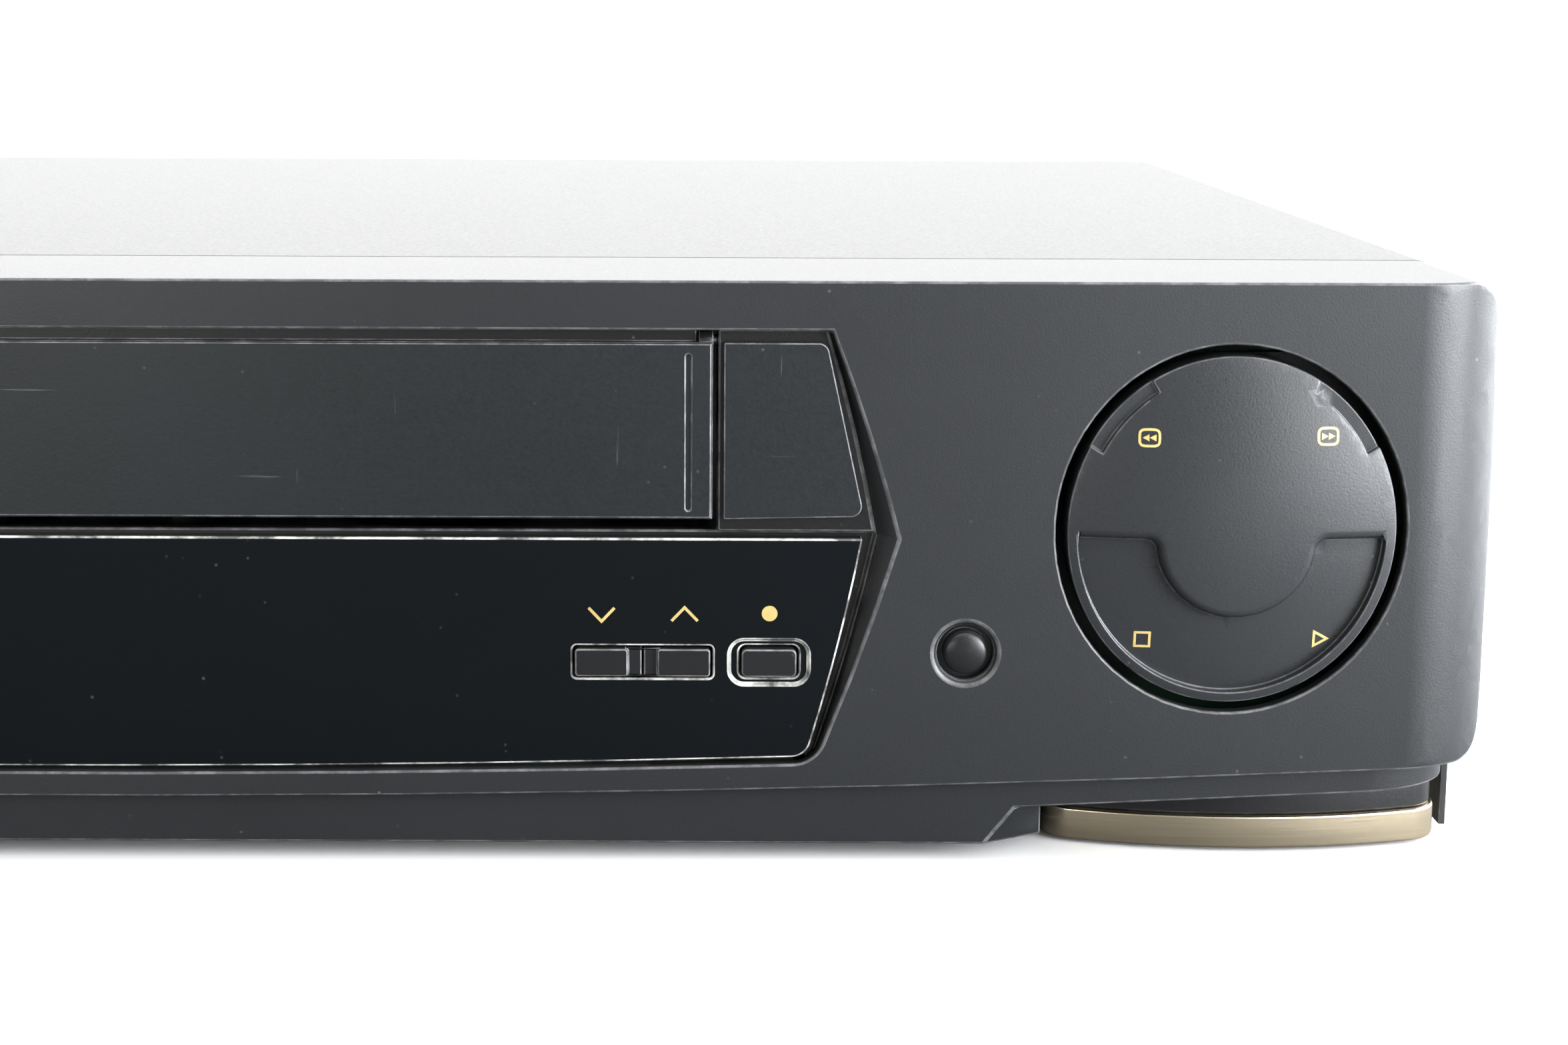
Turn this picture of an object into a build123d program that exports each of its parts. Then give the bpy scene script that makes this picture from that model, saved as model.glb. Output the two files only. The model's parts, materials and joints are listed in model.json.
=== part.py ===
from build123d import *
import math
import os

os.makedirs("parts", exist_ok=True)

# A front-loading video cassette recorder. Sizes are millimetres: x runs to the right as seen from
# the front, depth runs back from the flat front plane, and z runs up from the standing surface.

# Casing
bezel_half_width = 215.0
bezel_top_narrowing = 2.4
bezel_low_narrowing = 1.6
bezel_widest_z = 47.5
bezel_depth = 34.0
bezel_wall = 2.5
bezel_end_width = 14.0
bezel_end_depth = 13.0
bezel_top_radius = 5.0
bezel_low_radius = 5.0
unit_height = 86.5
ledge_mid_z = 10.2
ledge_end_z = 15.6
edge_softening = 0.8

# Chin under the ledge
chin_setback = 2.5
chin_bottom_z = 2.6
chin_end_step = 5.1
chin_corner_x = 140.0
chin_corner_rise_x = 144.5
chin_return_x = 149.1
chin_return_depth = 7.5
chin_band_mid_z = 8.2
chin_band_end_z = 11.4

# Recess that holds the flap, the window and the side plates
recess_top_z = 79.4
recess_top_x = 116.8
recess_apex_x = 126.7
recess_apex_z = 49.2
recess_low_x = 114.8
recess_low_z = 15.6
recess_mid_z = 13.9
recess_bulge = 0.5
recess_low_radius = 5.0
recess_facet_width = 3.4
recess_facet_depth = 2.2
recess_floor_depth = 3.5
recess_face_depth = 1.0
slot_bottom_z = 49.8

# Cassette flap
flap_half_width = 99.7
flap_bottom_z = 51.8
flap_top_z = 77.5
flap_thickness = 2.2
flap_side_gap = 0.75
flap_axis_z = 77.6
flap_axis_depth = 3.4
flap_pin_radius = 0.85
flap_pin_length = 2.4
flap_ear_radius = 1.4
flap_ear_width = 2.0
flap_groove_x = 96.2
flap_groove_width = 0.9
flap_lip_rise = 1.65
flap_lip_thickness = 1.1
flap_lip_end_gap = 0.4

# Side plates beside the flap
plate_inner_x = 101.3
plate_top_x = 116.1
plate_low_x = 121.7
plate_low_z = 52.2
plate_corner_radius = 1.6

# Display window
window_top_z = 49.0
window_top_x = 121.5
window_low_x = 113.6
window_low_z = 16.3
window_mid_z = 14.5
window_thickness = 2.5
window_corner_radius = 3.0
display_half_width = 50.0
display_low_z = 20.0
display_high_z = 42.0

# Buttons
button_gap = 0.35
button_travel = 1.2
button_flange = 1.2
button_flange_thickness = 1.2
stem_radius = 1.5
key_row_z = 30.6
key_height = 4.1
key_front_depth = 0.3
channel_outer_x = 79.8
channel_cap_width = 7.7
channel_tab_width = 2.0
channel_tab_drop = 0.7
channel_split_gap = 0.3
rec_x = 108.05
rec_width = 8.0
rec_ring_margin_x = 1.8
rec_ring_margin_z = 1.3
rec_ring_drop = 0.5
round_key_x = 136.6
round_key_z = 32.3
round_key_radius = 3.25
round_key_hole_radius = 4.1
round_key_ring_radius = 4.85
eject_x = -110.0
eject_z = 65.0
eject_width = 9.0
eject_height = 4.4

# Transport dial: an oval four-way rocking pad
dial_x = 174.5
dial_z = 50.6
dial_half_width = 23.7
dial_half_height = 25.4
dial_gap = 1.6
dial_dome_radius = 115.0
dial_proud = 2.9
dial_back_depth = 5.0
dial_rim = 1.5
crescent_drop = 1.8
crescent_top_z = -1.0
tongue_radius = 11.5
tongue_x = 0.6
tongue_shoulder_radius = 1.6
tongue_edge_radius = 1.4
dial_notch_width = 2.0
dial_notch_drop = 0.8
dial_notch_start = 31.0
dial_notch_sweep = 30.0
pivot_depth = 11.0
pivot_radius = 1.5
pivot_clearance = 0.05
dial_boss_radius = 8.0
gimbal_inner_radius = 10.0
gimbal_outer_radius = 15.0
gimbal_half_length = 2.0
cradle_inner_radius = 16.5
cradle_outer_radius = 21.0
cradle_front_depth = 7.6
cradle_post_offset = 22.0
cradle_post_radius = 2.0

# Front boards
board_thickness = 1.6
front_board_depth = 17.0
front_board_low_z = 18.5
front_board_high_z = 78.0
front_board_mid_z = 46.0
front_board_half_width = 200.0
switch_height = 2.0
switch_size = 5.0
display_module_depth = 7.0

# Cover, tray and rear panel
cover_side_step = 2.0
cover_sheet = 1.0
cover_seam = 0.4
cover_bottom_z = 3.0
cover_tab_front = 18.5
cover_tab_bottom_z = 0.8
cover_tab_top_z = 12.0
cover_bend = 4.6
cover_lip = 7.0
vent_count = 16
vent_pitch = 6.0
vent_width = 3.0
vent_low_z = 48.0
vent_high_z = 70.0
vent_rear_gap = 112.0
tray_bottom_z = 10.0
tray_sheet = 1.2
tray_cover_gap = 0.5
tray_flange_sheet = 1.5
tray_flange_top_z = 30.0
tray_tongue_inner_x = 153.0
tray_tongue_outer_x = 199.0
tray_tongue_front = 9.0
bracket_sheet = 1.2
bracket_top_z = 85.0
bracket_side_gap = 7.0
bracket_low_gap = 4.0
bracket_high_gap = 2.0
rear_panel_sheet = 1.5
rear_panel_gap = 1.0
screw_radius = 1.5
screw_clearance = 0.2
screw_head_radius = 3.4
screw_head_height = 1.8
side_screw_z = 22.0
side_screw_front = 70.0
side_screw_rear_gap = 35.0
rear_screw_z = 82.0
rear_screw_x = [-150.0, 0.0, 150.0]
lug_width = 12.0
lug_height = 10.0
lug_length = 9.0
lug_z = [22.0, 66.0]

# Feet
foot_x = 180.1
foot_half_width = 30.1
foot_front_depth = 7.0
foot_back_depth = 40.0
foot_front_bow = 5.4
foot_corner_radius = 6.0
foot_pad_thickness = 0.6
foot_shell_top_z = 5.6
foot_ring_inset = 0.6
foot_pad_inset = 3.0
rear_foot_x = 185.0
rear_foot_rear_gap = 28.0
rear_foot_radius = 11.0

# Tape deck
deck_half_width = 112.0
deck_front = 40.0
deck_back_margin = 11.0
socket_room = 26.0
deck_bottom_z = 24.0
deck_sheet = 1.6
deck_leg_radius = 4.0
deck_leg_inset = 6.0

# Cassette carriage; the holder takes a 188 x 104 x 25 cassette
cassette_width = 188.0
cassette_depth = 104.0
cassette_height = 25.0
holder_play = 0.4
holder_sheet = 1.0
holder_front = 31.0
holder_floor_z = 50.0
holder_length = 106.0
holder_ledge = 15.0
holder_pin_radius = 2.0
holder_pin_depths = [62.0, 106.0]
holder_pin_z = 64.0
carriage_gap = 1.0
sledge_sheet = 1.2
sledge_front = 50.0
sledge_back = 118.0
sledge_low_z = 36.0
sledge_bar_z = 78.6
sledge_stroke = 52.0
lift_stroke = 22.0
runner_z = 70.0
runner_radius = 2.0
side_frame_front = 40.0
side_frame_back = 200.0
side_frame_top_z = 80.0
side_frame_sheet = 1.2
side_frame_gap = 1.6

# Drum, capstan, heads, guides and reels
drum_depth = 222.0
drum_radius = 31.0
drum_tilt = 6.0
drum_base_z = 30.0
lower_drum_height = 15.0
upper_drum_height = 12.0
drum_gap = 0.3
drum_shaft_radius = 3.0
shaft_clearance = 0.05
capstan_x = 65.6
capstan_depth = 209.5
capstan_radius = 2.0
capstan_top_z = 52.0
capstan_bearing_radius = 5.0
rotor_radius = 22.0
rotor_low_z = 16.0
rotor_height = 5.0
pinch_pivot_x = 90.0
pinch_pivot_depth = 229.0
pinch_arm_length = 30.0
pinch_rest_angle = -95.0
pinch_roller_radius = 6.5
guide_start_x = 32.0
guide_start_depth = 172.0
guide_end_x = 42.0
guide_end_depth = 226.0
guide_slot_width = 6.0
guide_slot_margin = 1.2
guide_post_radius = 2.5
guide_base_radius = 4.5
head_x = 53.0
head_depth = 196.0
reel_x = 45.0
reel_depth = 138.0
reel_table_radius = 17.0
reel_spindle_radius = 4.0
reel_table_z = 26.2
reel_table_height = 1.4
reel_top_z = 42.0
reel_post_radius = 2.0
idler_pivot_depth = 112.0
idler_arm_length = 22.0
idler_wheel_radius = 11.0
tension_pivot_x = -70.0
tension_pivot_depth = 206.0
tension_arm_length = 24.0
tension_rest_angle = -60.0
cam_x = -62.0
cam_depth = 236.0
cam_radius = 16.0
cam_z = 26.4
cam_height = 4.0
motor_x = -95.0
motor_frame_gap = 13.0
motor_radius = 9.0
motor_height = 20.0
pulley_radius = 5.0
pulley_gap = 0.1
belt_thickness = 1.0
belt_height = 2.0

# Boards, power supply and sockets
board_z = 17.0
board_side_gap = 5.5
main_board_deck_gap = 4.0
main_board_front_gap = 26.0
main_board_rear_gap = 11.5
supply_board_deck_gap = 6.0
supply_board_rear_gap = 5.5
supply_board_length = 132.0
chip_heights = [3.0, 4.0, 3.0]
filter_can_size = [36.0, 36.0, 14.0]
coil_count = 6
coil_pitch = 12.0
coil_radius = 3.5
coil_height = 12.0
sink_width = 50.0
sink_height = 30.0
sink_web = 3.0
sink_fin_count = 8
sink_fin_thickness = 1.5
sink_fin_depth = 6.0
sink_board_inset = 6.0
standoff_radius = 3.0
standoff_inset = 7.0
supply_capacitors = [(17.0, 112.0, 9.0, 32.0), (9.0, 86.0, 6.0, 20.0), (8.0, 46.0, 5.0, 16.0)]
transformer_size = [48.0, 42.0, 40.0]
transformer_x = -160.0
transformer_rear_gap = 40.0
tuner_x = 165.0
tuner_width = 64.0
tuner_length = 50.0
tuner_height = 24.0
tuner_z = 28.0
socket_proud = 8.0
socket_collar = 1.2
panel_hole_gap = 0.2
aerial_radius = 4.75
aerial_spacing = 24.0
aerial_bore_radius = 3.4
scart_x = [10.0, 68.0]
scart_z = 60.0
scart_width = 47.0
scart_height = 15.0
scart_body_length = 20.0
scart_lip = 1.5
phono_x = [-60.0, -40.0]
phono_z = 60.0
phono_radius = 4.15
phono_bore_radius = 1.6
phono_body = 14.0
inlet_x = -165.0
inlet_z = 60.0
inlet_width = 20.0
inlet_height = 12.0
inlet_body_length = 22.0
ribbon_x = 160.0
ribbon_width = 25.0
ribbon_thickness = 0.6
ribbon_z = 21.0

# Derived places
bezel_top_half_width = bezel_half_width - bezel_top_narrowing
bezel_low_half_width = bezel_half_width - bezel_low_narrowing
chin_half_width = bezel_half_width - chin_end_step
cover_half_width = bezel_half_width - cover_side_step
deck_back = drum_depth + drum_radius + deck_back_margin
body_depth = deck_back + socket_room
total_depth = dial_proud + body_depth + socket_proud
front_y = dial_proud - total_depth / 2
cover_inner_x = cover_half_width - cover_sheet
cover_inner_z = unit_height - cover_sheet
tray_top_z = tray_bottom_z + tray_sheet
deck_top_z = deck_bottom_z + deck_sheet
rear_outer_depth = body_depth - cover_sheet
rear_inner_depth = rear_outer_depth - rear_panel_sheet
holder_half = cassette_width / 2 + holder_play
holder_outer = holder_half + holder_sheet
holder_roof_z = holder_floor_z + cassette_height + holder_play
sledge_inner_x = holder_outer + carriage_gap
sledge_outer_x = sledge_inner_x + sledge_sheet
frame_inner_x = sledge_outer_x + side_frame_gap
frame_outer_x = frame_inner_x + side_frame_sheet
slot_half_width = flap_half_width + flap_side_gap
tray_half_width = cover_inner_x - tray_cover_gap
rear_panel_half_width = cover_inner_x - rear_panel_gap
side_screw_depths = [side_screw_front, body_depth - side_screw_rear_gap]
vent_first_depth = body_depth - vent_rear_gap
rear_foot_depth = body_depth - rear_foot_rear_gap
motor_depth = side_frame_back + motor_radius + motor_frame_gap
board_reach = tray_half_width - board_side_gap
main_board_x = [deck_half_width + main_board_deck_gap, board_reach]
main_board_depths = [bezel_depth + main_board_front_gap, rear_inner_depth - main_board_rear_gap]
supply_board_x = [-board_reach, -(deck_half_width + supply_board_deck_gap)]
supply_board_back = rear_inner_depth - supply_board_rear_gap
supply_board_depths = [supply_board_back - supply_board_length, supply_board_back]
recess_back_depth = recess_floor_depth + bezel_wall


def block(x_low, x_high, depth_low, depth_high, z_low, z_high):
    """A box given by its limits."""
    size = (x_high - x_low, depth_high - depth_low, z_high - z_low)
    middle = ((x_low + x_high) / 2, (depth_low + depth_high) / 2, (z_low + z_high) / 2)
    return Pos(*middle) * Box(*size)


def post(x, depth, radius, z_low, z_high):
    """An upright round bar."""
    return Pos(x, depth, (z_low + z_high) / 2) * Cylinder(radius, z_high - z_low)


def bar_back(x, z, radius, depth_low, depth_high):
    """A round bar that runs front to back."""
    middle = Pos(x, (depth_low + depth_high) / 2, z)
    return middle * Rot(90, 0, 0) * Cylinder(radius, depth_high - depth_low)


def bar_across(depth, z, radius, x_low, x_high):
    """A round bar that runs left to right."""
    middle = Pos((x_low + x_high) / 2, depth, z)
    return middle * Rot(0, 90, 0) * Cylinder(radius, x_high - x_low)


def front_plane(depth):
    """A drawing plane seen from the front, at one depth."""
    return Plane(origin=(0, depth, 0), x_dir=(1, 0, 0), z_dir=(0, -1, 0))


def from_front(face, depth_low, depth_high):
    """A face drawn in x and z, made solid between two depths."""
    return extrude(front_plane(depth_low) * face, amount=depth_low - depth_high)


def rounded_rect(x, z, width, height, radius):
    return Pos(x, z) * RectangleRounded(width, height, radius)


def mirrored(shape):
    """The same shape on the other side of the middle."""
    return mirror(shape, about=Plane.YZ)


def both_sides(shape):
    return [shape, mirrored(shape)]


# ---------------------------------------------------------------- front panel

def bezel_elevation(inset):
    """The bezel seen from the front: bulged sides and a bottom edge that dips in the middle."""
    low_x = bezel_low_half_width - inset
    wide_x = bezel_half_width - inset
    top_x = bezel_top_half_width - inset
    low_z = ledge_end_z + inset
    mid_z = ledge_mid_z + inset
    top_z = unit_height - inset
    bottom = ThreePointArc((-low_x, low_z), (0, mid_z), (low_x, low_z))
    right = ThreePointArc((low_x, low_z), (wide_x, bezel_widest_z), (top_x, top_z))
    top = Line((top_x, top_z), (-top_x, top_z))
    left = ThreePointArc((-top_x, top_z), (-wide_x, bezel_widest_z), (-low_x, low_z))
    face = make_face([bottom, right, top, left])
    low_corners = face.vertices().sort_by(Axis.Y)[:2]
    face = fillet(low_corners, bezel_low_radius - inset)
    top_corners = face.vertices().sort_by(Axis.Y)[-2:]
    return fillet(top_corners, bezel_top_radius - inset)


def bezel_plan(half_width, front, back, end_width, end_depth):
    """The bezel seen from above: a straight front with elliptical ends."""
    flat_x = half_width - end_width
    end_y = front + end_depth
    edges = [
        Line((-flat_x, front), (flat_x, front)),
        EllipticalCenterArc((flat_x, end_y), end_width, end_depth, -90, arc_size=90),
        Line((half_width, end_y), (half_width, back)),
        Line((half_width, back), (-half_width, back)),
        Line((-half_width, back), (-half_width, end_y)),
        EllipticalCenterArc((-flat_x, end_y), end_width, end_depth, 180, arc_size=90),
    ]
    return make_face(edges)


def bezel_shell():
    outer_plan = bezel_plan(bezel_half_width, 0, bezel_depth, bezel_end_width, bezel_end_depth)
    outer = extrude(outer_plan, amount=unit_height + 1) & from_front(bezel_elevation(0), -1, bezel_depth)
    inner_half = bezel_half_width - bezel_wall
    inner_end = bezel_end_depth - bezel_wall
    inner_plan = bezel_plan(inner_half, bezel_wall, bezel_depth + 1, bezel_end_width, inner_end)
    inner_face = bezel_elevation(bezel_wall)
    inner = extrude(inner_plan, amount=unit_height + 1) & from_front(inner_face, 0, bezel_depth + 1)
    return outer - inner


def chin_block(z_low, z_high, corner_low, corner_high):
    """The middle of the chin, whose ends turn back to the feet."""
    back = bezel_depth

    def outline(corner_x, z):
        points = [
            (-chin_return_x, back),
            (-chin_return_x, chin_return_depth),
            (-corner_x, chin_setback),
            (corner_x, chin_setback),
            (chin_return_x, chin_return_depth),
            (chin_return_x, back),
        ]
        return Pos(0, 0, z) * make_face(Polyline(points, close=True))

    return loft([outline(corner_low, z_low), outline(corner_high, z_high)], ruled=True)


def chin():
    """The set-back skirt under the ledge, cut away over the feet."""
    middle = chin_block(chin_bottom_z, chin_band_mid_z, chin_corner_x, chin_corner_rise_x)
    top_z = ledge_end_z + bezel_wall
    band_points = [
        (-chin_half_width, chin_band_end_z),
        (-chin_corner_rise_x, chin_band_mid_z),
        (chin_corner_rise_x, chin_band_mid_z),
        (chin_half_width, chin_band_end_z),
        (chin_half_width, top_z),
        (-chin_half_width, top_z),
    ]
    band = from_front(make_face(Polyline(band_points, close=True)), 0, bezel_depth)
    end_depth = bezel_end_depth - chin_setback
    plan = bezel_plan(chin_half_width, chin_setback, bezel_depth, bezel_end_width, end_depth)
    inner_half = chin_half_width - bezel_wall
    inner_front = chin_setback + bezel_wall
    inner_plan = bezel_plan(inner_half, inner_front, bezel_depth + 1, bezel_end_width, end_depth - bezel_wall)
    band_ring = extrude(plan, amount=top_z) - extrude(inner_plan, amount=top_z + 1)
    above_ledge = from_front(bezel_elevation(bezel_wall / 2), -1, bezel_depth + 1)
    hollow = block(-chin_corner_x, chin_corner_x, inner_front, bezel_depth + 1,
                   chin_bottom_z + bezel_wall, chin_band_mid_z + 1)
    return ((band & band_ring) + (middle - hollow)) - above_ledge


def recess_face(inset):
    """The recess outline; its sides point outwards like arrowheads."""
    top_x = recess_top_x - inset * 0.2
    apex_x = recess_apex_x - inset
    low_x = recess_low_x - inset * 0.2
    half_top = ((top_x + apex_x) / 2 + recess_bulge, (recess_top_z + recess_apex_z) / 2)
    half_low = ((low_x + apex_x) / 2 + recess_bulge, (recess_low_z + recess_apex_z) / 2)
    edges = [
        ThreePointArc((-low_x, recess_low_z), (0, recess_mid_z), (low_x, recess_low_z)),
        ThreePointArc((low_x, recess_low_z), half_low, (apex_x, recess_apex_z)),
        ThreePointArc((apex_x, recess_apex_z), half_top, (top_x, recess_top_z)),
        Line((top_x, recess_top_z), (-top_x, recess_top_z)),
        ThreePointArc((-top_x, recess_top_z), (-half_top[0], half_top[1]), (-apex_x, recess_apex_z)),
        ThreePointArc((-apex_x, recess_apex_z), (-half_low[0], half_low[1]), (-low_x, recess_low_z)),
    ]
    face = make_face(edges)
    low_corners = [corner for corner in face.vertices() if abs(corner.Y - recess_low_z) < 0.01]
    return fillet(low_corners, recess_low_radius - inset * 0.6)


def key_slots():
    """Holes for the keys in the window and in the recess floor behind it."""
    slot_width = 2 * (channel_cap_width + channel_tab_width) + channel_split_gap
    slot_x = channel_outer_x + slot_width / 2
    grow = 2 * button_gap
    channel = rounded_rect(slot_x, key_row_z, slot_width + grow, key_height + grow, 0.6)
    record = rounded_rect(rec_x, key_row_z, rec_width + grow, key_height + grow, 1.0)
    return [from_front(channel, -1, 20), from_front(record, -1, 20)]


def front_panel():
    shell = bezel_shell() + chin()
    floor_face = recess_face(-bezel_wall)
    shell += from_front(floor_face, bezel_wall / 2, recess_back_depth)
    facet = loft([
        front_plane(0) * recess_face(0),
        front_plane(recess_facet_depth) * recess_face(recess_facet_width),
    ], ruled=True)
    shell -= facet
    below_slot = block(-recess_apex_x, recess_apex_x, 0, 10, 0, slot_bottom_z)
    pocket = from_front(recess_face(recess_facet_width), recess_facet_depth, recess_floor_depth)
    shell -= pocket & below_slot
    shell -= block(-slot_half_width, slot_half_width, 0.5, 12, slot_bottom_z, recess_top_z)
    shell -= block(-display_half_width, display_half_width, 0, 12, display_low_z, display_high_z)
    for slot in key_slots():
        shell -= slot
    oval = Pos(dial_x, dial_z) * Ellipse(dial_half_width + dial_gap, dial_half_height + dial_gap)
    shell -= from_front(oval, -1, bezel_wall + 1)
    for key_x in (round_key_x, -round_key_x):
        shell -= bar_back(key_x, round_key_z, round_key_hole_radius, -1, bezel_wall + 1)
        ring_depth = round_key_ring_radius - round_key_hole_radius
        flare = Cone(round_key_hole_radius, round_key_ring_radius, ring_depth)
        shell -= Pos(key_x, ring_depth / 2, round_key_z) * Rot(90, 0, 0) * flare
    shell -= from_front(rounded_rect(eject_x, eject_z, eject_width + 1, eject_height + 1, 1.5), 0, 12)
    for side in (-1, 1):
        pin_end = flap_half_width + flap_pin_length + 0.3
        limits = sorted([side * (slot_half_width - 0.5), side * pin_end])
        radius = flap_pin_radius + shaft_clearance
        shell -= bar_across(flap_axis_depth, flap_axis_z, radius, *limits)
    within_walls = from_front(bezel_elevation(bezel_wall / 2), 0, bezel_depth)
    for z_low in lug_z:
        side_x = bezel_half_width - bezel_wall - 3
        lug = block(side_x - lug_width, bezel_half_width, bezel_depth - lug_length, bezel_depth,
                    z_low, z_low + lug_height)
        lug = lug & within_walls
        hole = bar_back(side_x - lug_width / 2, z_low + lug_height / 2, screw_radius,
                        bezel_depth - lug_length - 1, bezel_depth + 1)
        for copy in both_sides(lug - hole):
            shell += copy
    return shell


def display_window():
    half_low = ((window_low_x + window_top_x) / 2 + recess_bulge, (window_low_z + window_top_z) / 2)
    edges = [
        ThreePointArc((-window_low_x, window_low_z), (0, window_mid_z), (window_low_x, window_low_z)),
        ThreePointArc((window_low_x, window_low_z), half_low, (window_top_x, window_top_z)),
        Line((window_top_x, window_top_z), (-window_top_x, window_top_z)),
        ThreePointArc((-window_top_x, window_top_z), (-half_low[0], half_low[1]),
                      (-window_low_x, window_low_z)),
    ]
    face = make_face(edges)
    face = fillet(face.vertices().sort_by(Axis.Y)[:2], window_corner_radius)
    back = recess_face_depth + window_thickness
    pane = from_front(face, recess_face_depth, back)
    for slot in key_slots():
        pane -= slot
    ring_width = rec_width + 2 * rec_ring_margin_x
    ring_height = key_height + 2 * rec_ring_margin_z
    ring = rounded_rect(rec_x, key_row_z, ring_width, ring_height, 2.2)
    pane -= from_front(ring, recess_face_depth - 1, recess_face_depth + rec_ring_drop)
    return pane


def side_plate(with_key_hole):
    """The right-hand plate beside the flap; the left one is its mirror image with a key hole."""
    points = [
        (plate_inner_x, flap_bottom_z),
        (plate_low_x, plate_low_z),
        (plate_top_x, flap_top_z),
        (plate_inner_x, flap_top_z),
    ]
    face = make_face(Polyline(points, close=True))
    outer_corners = face.vertices().sort_by(Axis.X)[-2:]
    face = fillet(outer_corners, plate_corner_radius)
    plate = from_front(face, recess_face_depth, recess_facet_depth)
    if with_key_hole:
        plate = mirrored(plate)
        grow = 2 * button_gap
        hole = rounded_rect(eject_x, eject_z, eject_width + grow, eject_height + grow, 1.5)
        plate -= from_front(hole, 0, 12)
    return plate


def cassette_flap():
    back = recess_face_depth + flap_thickness
    door = block(-flap_half_width, flap_half_width, recess_face_depth, back, flap_bottom_z, flap_top_z)
    front_edges = door.edges().group_by(Axis.Y)[0]
    door = chamfer(front_edges, 0.3)
    groove_low_z = flap_bottom_z + 1.2
    groove_high_z = flap_top_z - 1.6
    groove_middle = (groove_low_z + groove_high_z) / 2
    for x in (flap_groove_x, -flap_groove_x):
        groove = SlotOverall(groove_high_z - groove_low_z, flap_groove_width, rotation=90)
        groove = Pos(x, groove_middle) * groove
        door -= from_front(groove, 0, recess_face_depth + 0.4)
    lip_half = flap_half_width - flap_ear_width - flap_lip_end_gap
    door += block(-lip_half, lip_half, back - 0.2, back + flap_lip_thickness, flap_top_z - 1,
                  flap_top_z + flap_lip_rise)
    for side in (-1, 1):
        inner = side * (flap_half_width - flap_ear_width)
        outer = side * flap_half_width
        limits = sorted([inner, outer])
        ear = bar_across(flap_axis_depth, flap_axis_z, flap_ear_radius, *limits)
        web = block(*limits, back - 0.5, flap_axis_depth + flap_ear_radius, flap_axis_z - 3, flap_axis_z)
        pin_limits = sorted([inner, side * (flap_half_width + flap_pin_length)])
        door += ear + web
        door += bar_across(flap_axis_depth, flap_axis_z, flap_pin_radius, *pin_limits)
    return door


# ---------------------------------------------------------------- keys

def push_key(cap, wall_back, x, z, flange_width, flange_height):
    """A cap with a flange behind the wall it passes through, and a stem that meets its switch."""
    flange_front = wall_back + 0.05
    flange_face = rounded_rect(x, z, flange_width, flange_height, 0.8)
    flange = from_front(flange_face, flange_front, flange_front + button_flange_thickness)
    stem_end = front_board_depth - switch_height - button_travel - 0.1
    stem = bar_back(x, z, stem_radius, flange_front, stem_end)
    return cap + flange + stem


def channel_key(up):
    """One half of the channel pair; the lower tabs meet in the middle."""
    pair_middle = channel_outer_x + channel_cap_width + channel_tab_width + channel_split_gap / 2
    cap_x = channel_outer_x + channel_cap_width / 2
    tab_x = channel_outer_x + channel_cap_width + channel_tab_width / 2
    cap_face = rounded_rect(cap_x, key_row_z, channel_cap_width, key_height, 0.5)
    cap = from_front(cap_face, key_front_depth, recess_back_depth + 0.5)
    tab = block(tab_x - channel_tab_width, tab_x + channel_tab_width / 2,
                key_front_depth + channel_tab_drop, recess_back_depth + 0.5,
                key_row_z - key_height / 2, key_row_z + key_height / 2)
    flange_width = channel_cap_width + channel_tab_width
    flange_height = key_height + 2 * button_flange
    flange_x = channel_outer_x + flange_width / 2
    key = push_key(cap + tab, recess_back_depth, flange_x, key_row_z, flange_width, flange_height)
    if up:
        key = mirror(key, about=Plane.YZ.offset(pair_middle))
    return key


def record_key():
    face = rounded_rect(rec_x, key_row_z, rec_width, key_height, 0.8)
    cap = from_front(face, key_front_depth, recess_back_depth + 0.5)
    width = rec_width + 2 * button_flange
    height = key_height + 2 * button_flange
    return push_key(cap, recess_back_depth, rec_x, key_row_z, width, height)


def round_key():
    cap = bar_back(round_key_x, round_key_z, round_key_radius, key_front_depth, bezel_wall + 0.5)
    cap = fillet(cap.edges().group_by(Axis.Y)[0], edge_softening)
    size = 2 * (round_key_hole_radius + button_flange)
    return push_key(cap, bezel_wall, round_key_x, round_key_z, size, size)


def eject_key():
    face = rounded_rect(eject_x, eject_z, eject_width, eject_height, 1.2)
    cap = from_front(face, key_front_depth, recess_back_depth + 0.5)
    width = eject_width + 2 * button_flange
    height = eject_height + 2 * button_flange
    return push_key(cap, recess_back_depth, eject_x, eject_z, width, height)


# ---------------------------------------------------------------- transport dial

def dial_frame():
    return Pos(dial_x, 0, dial_z)


def dial_oval(inset):
    return Ellipse(dial_half_width - inset, dial_half_height - inset)


def notch_face(middle_angle):
    """A stretch of the dial's rim, as a face."""
    reach = dial_half_height + 5
    half = math.radians(dial_notch_sweep / 2)
    middle = math.radians(middle_angle)
    points = [
        (0, 0),
        (reach * math.cos(middle - half), reach * math.sin(middle - half)),
        (reach * math.cos(middle + half), reach * math.sin(middle + half)),
    ]
    wedge = make_face(Polyline(points, close=True))
    return (dial_oval(-1) - dial_oval(dial_notch_width)) & wedge


def tongue_edges(disc):
    """The front edges of the tongue, where the dome ends above the crescent."""
    found = []
    for edge in disc.edges():
        middle = edge @ 0.5
        out = math.hypot(middle.X - tongue_x, middle.Z - crescent_top_z)
        dome = dial_dome_radius - dial_proud - math.sqrt(
            dial_dome_radius ** 2 - middle.X ** 2 - middle.Z ** 2)
        on_dome = abs(middle.Y - dome) < 0.05
        if on_dome and out < tongue_radius + 2 and middle.Z < crescent_top_z + 0.5:
            found.append(edge)
    return found


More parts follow.
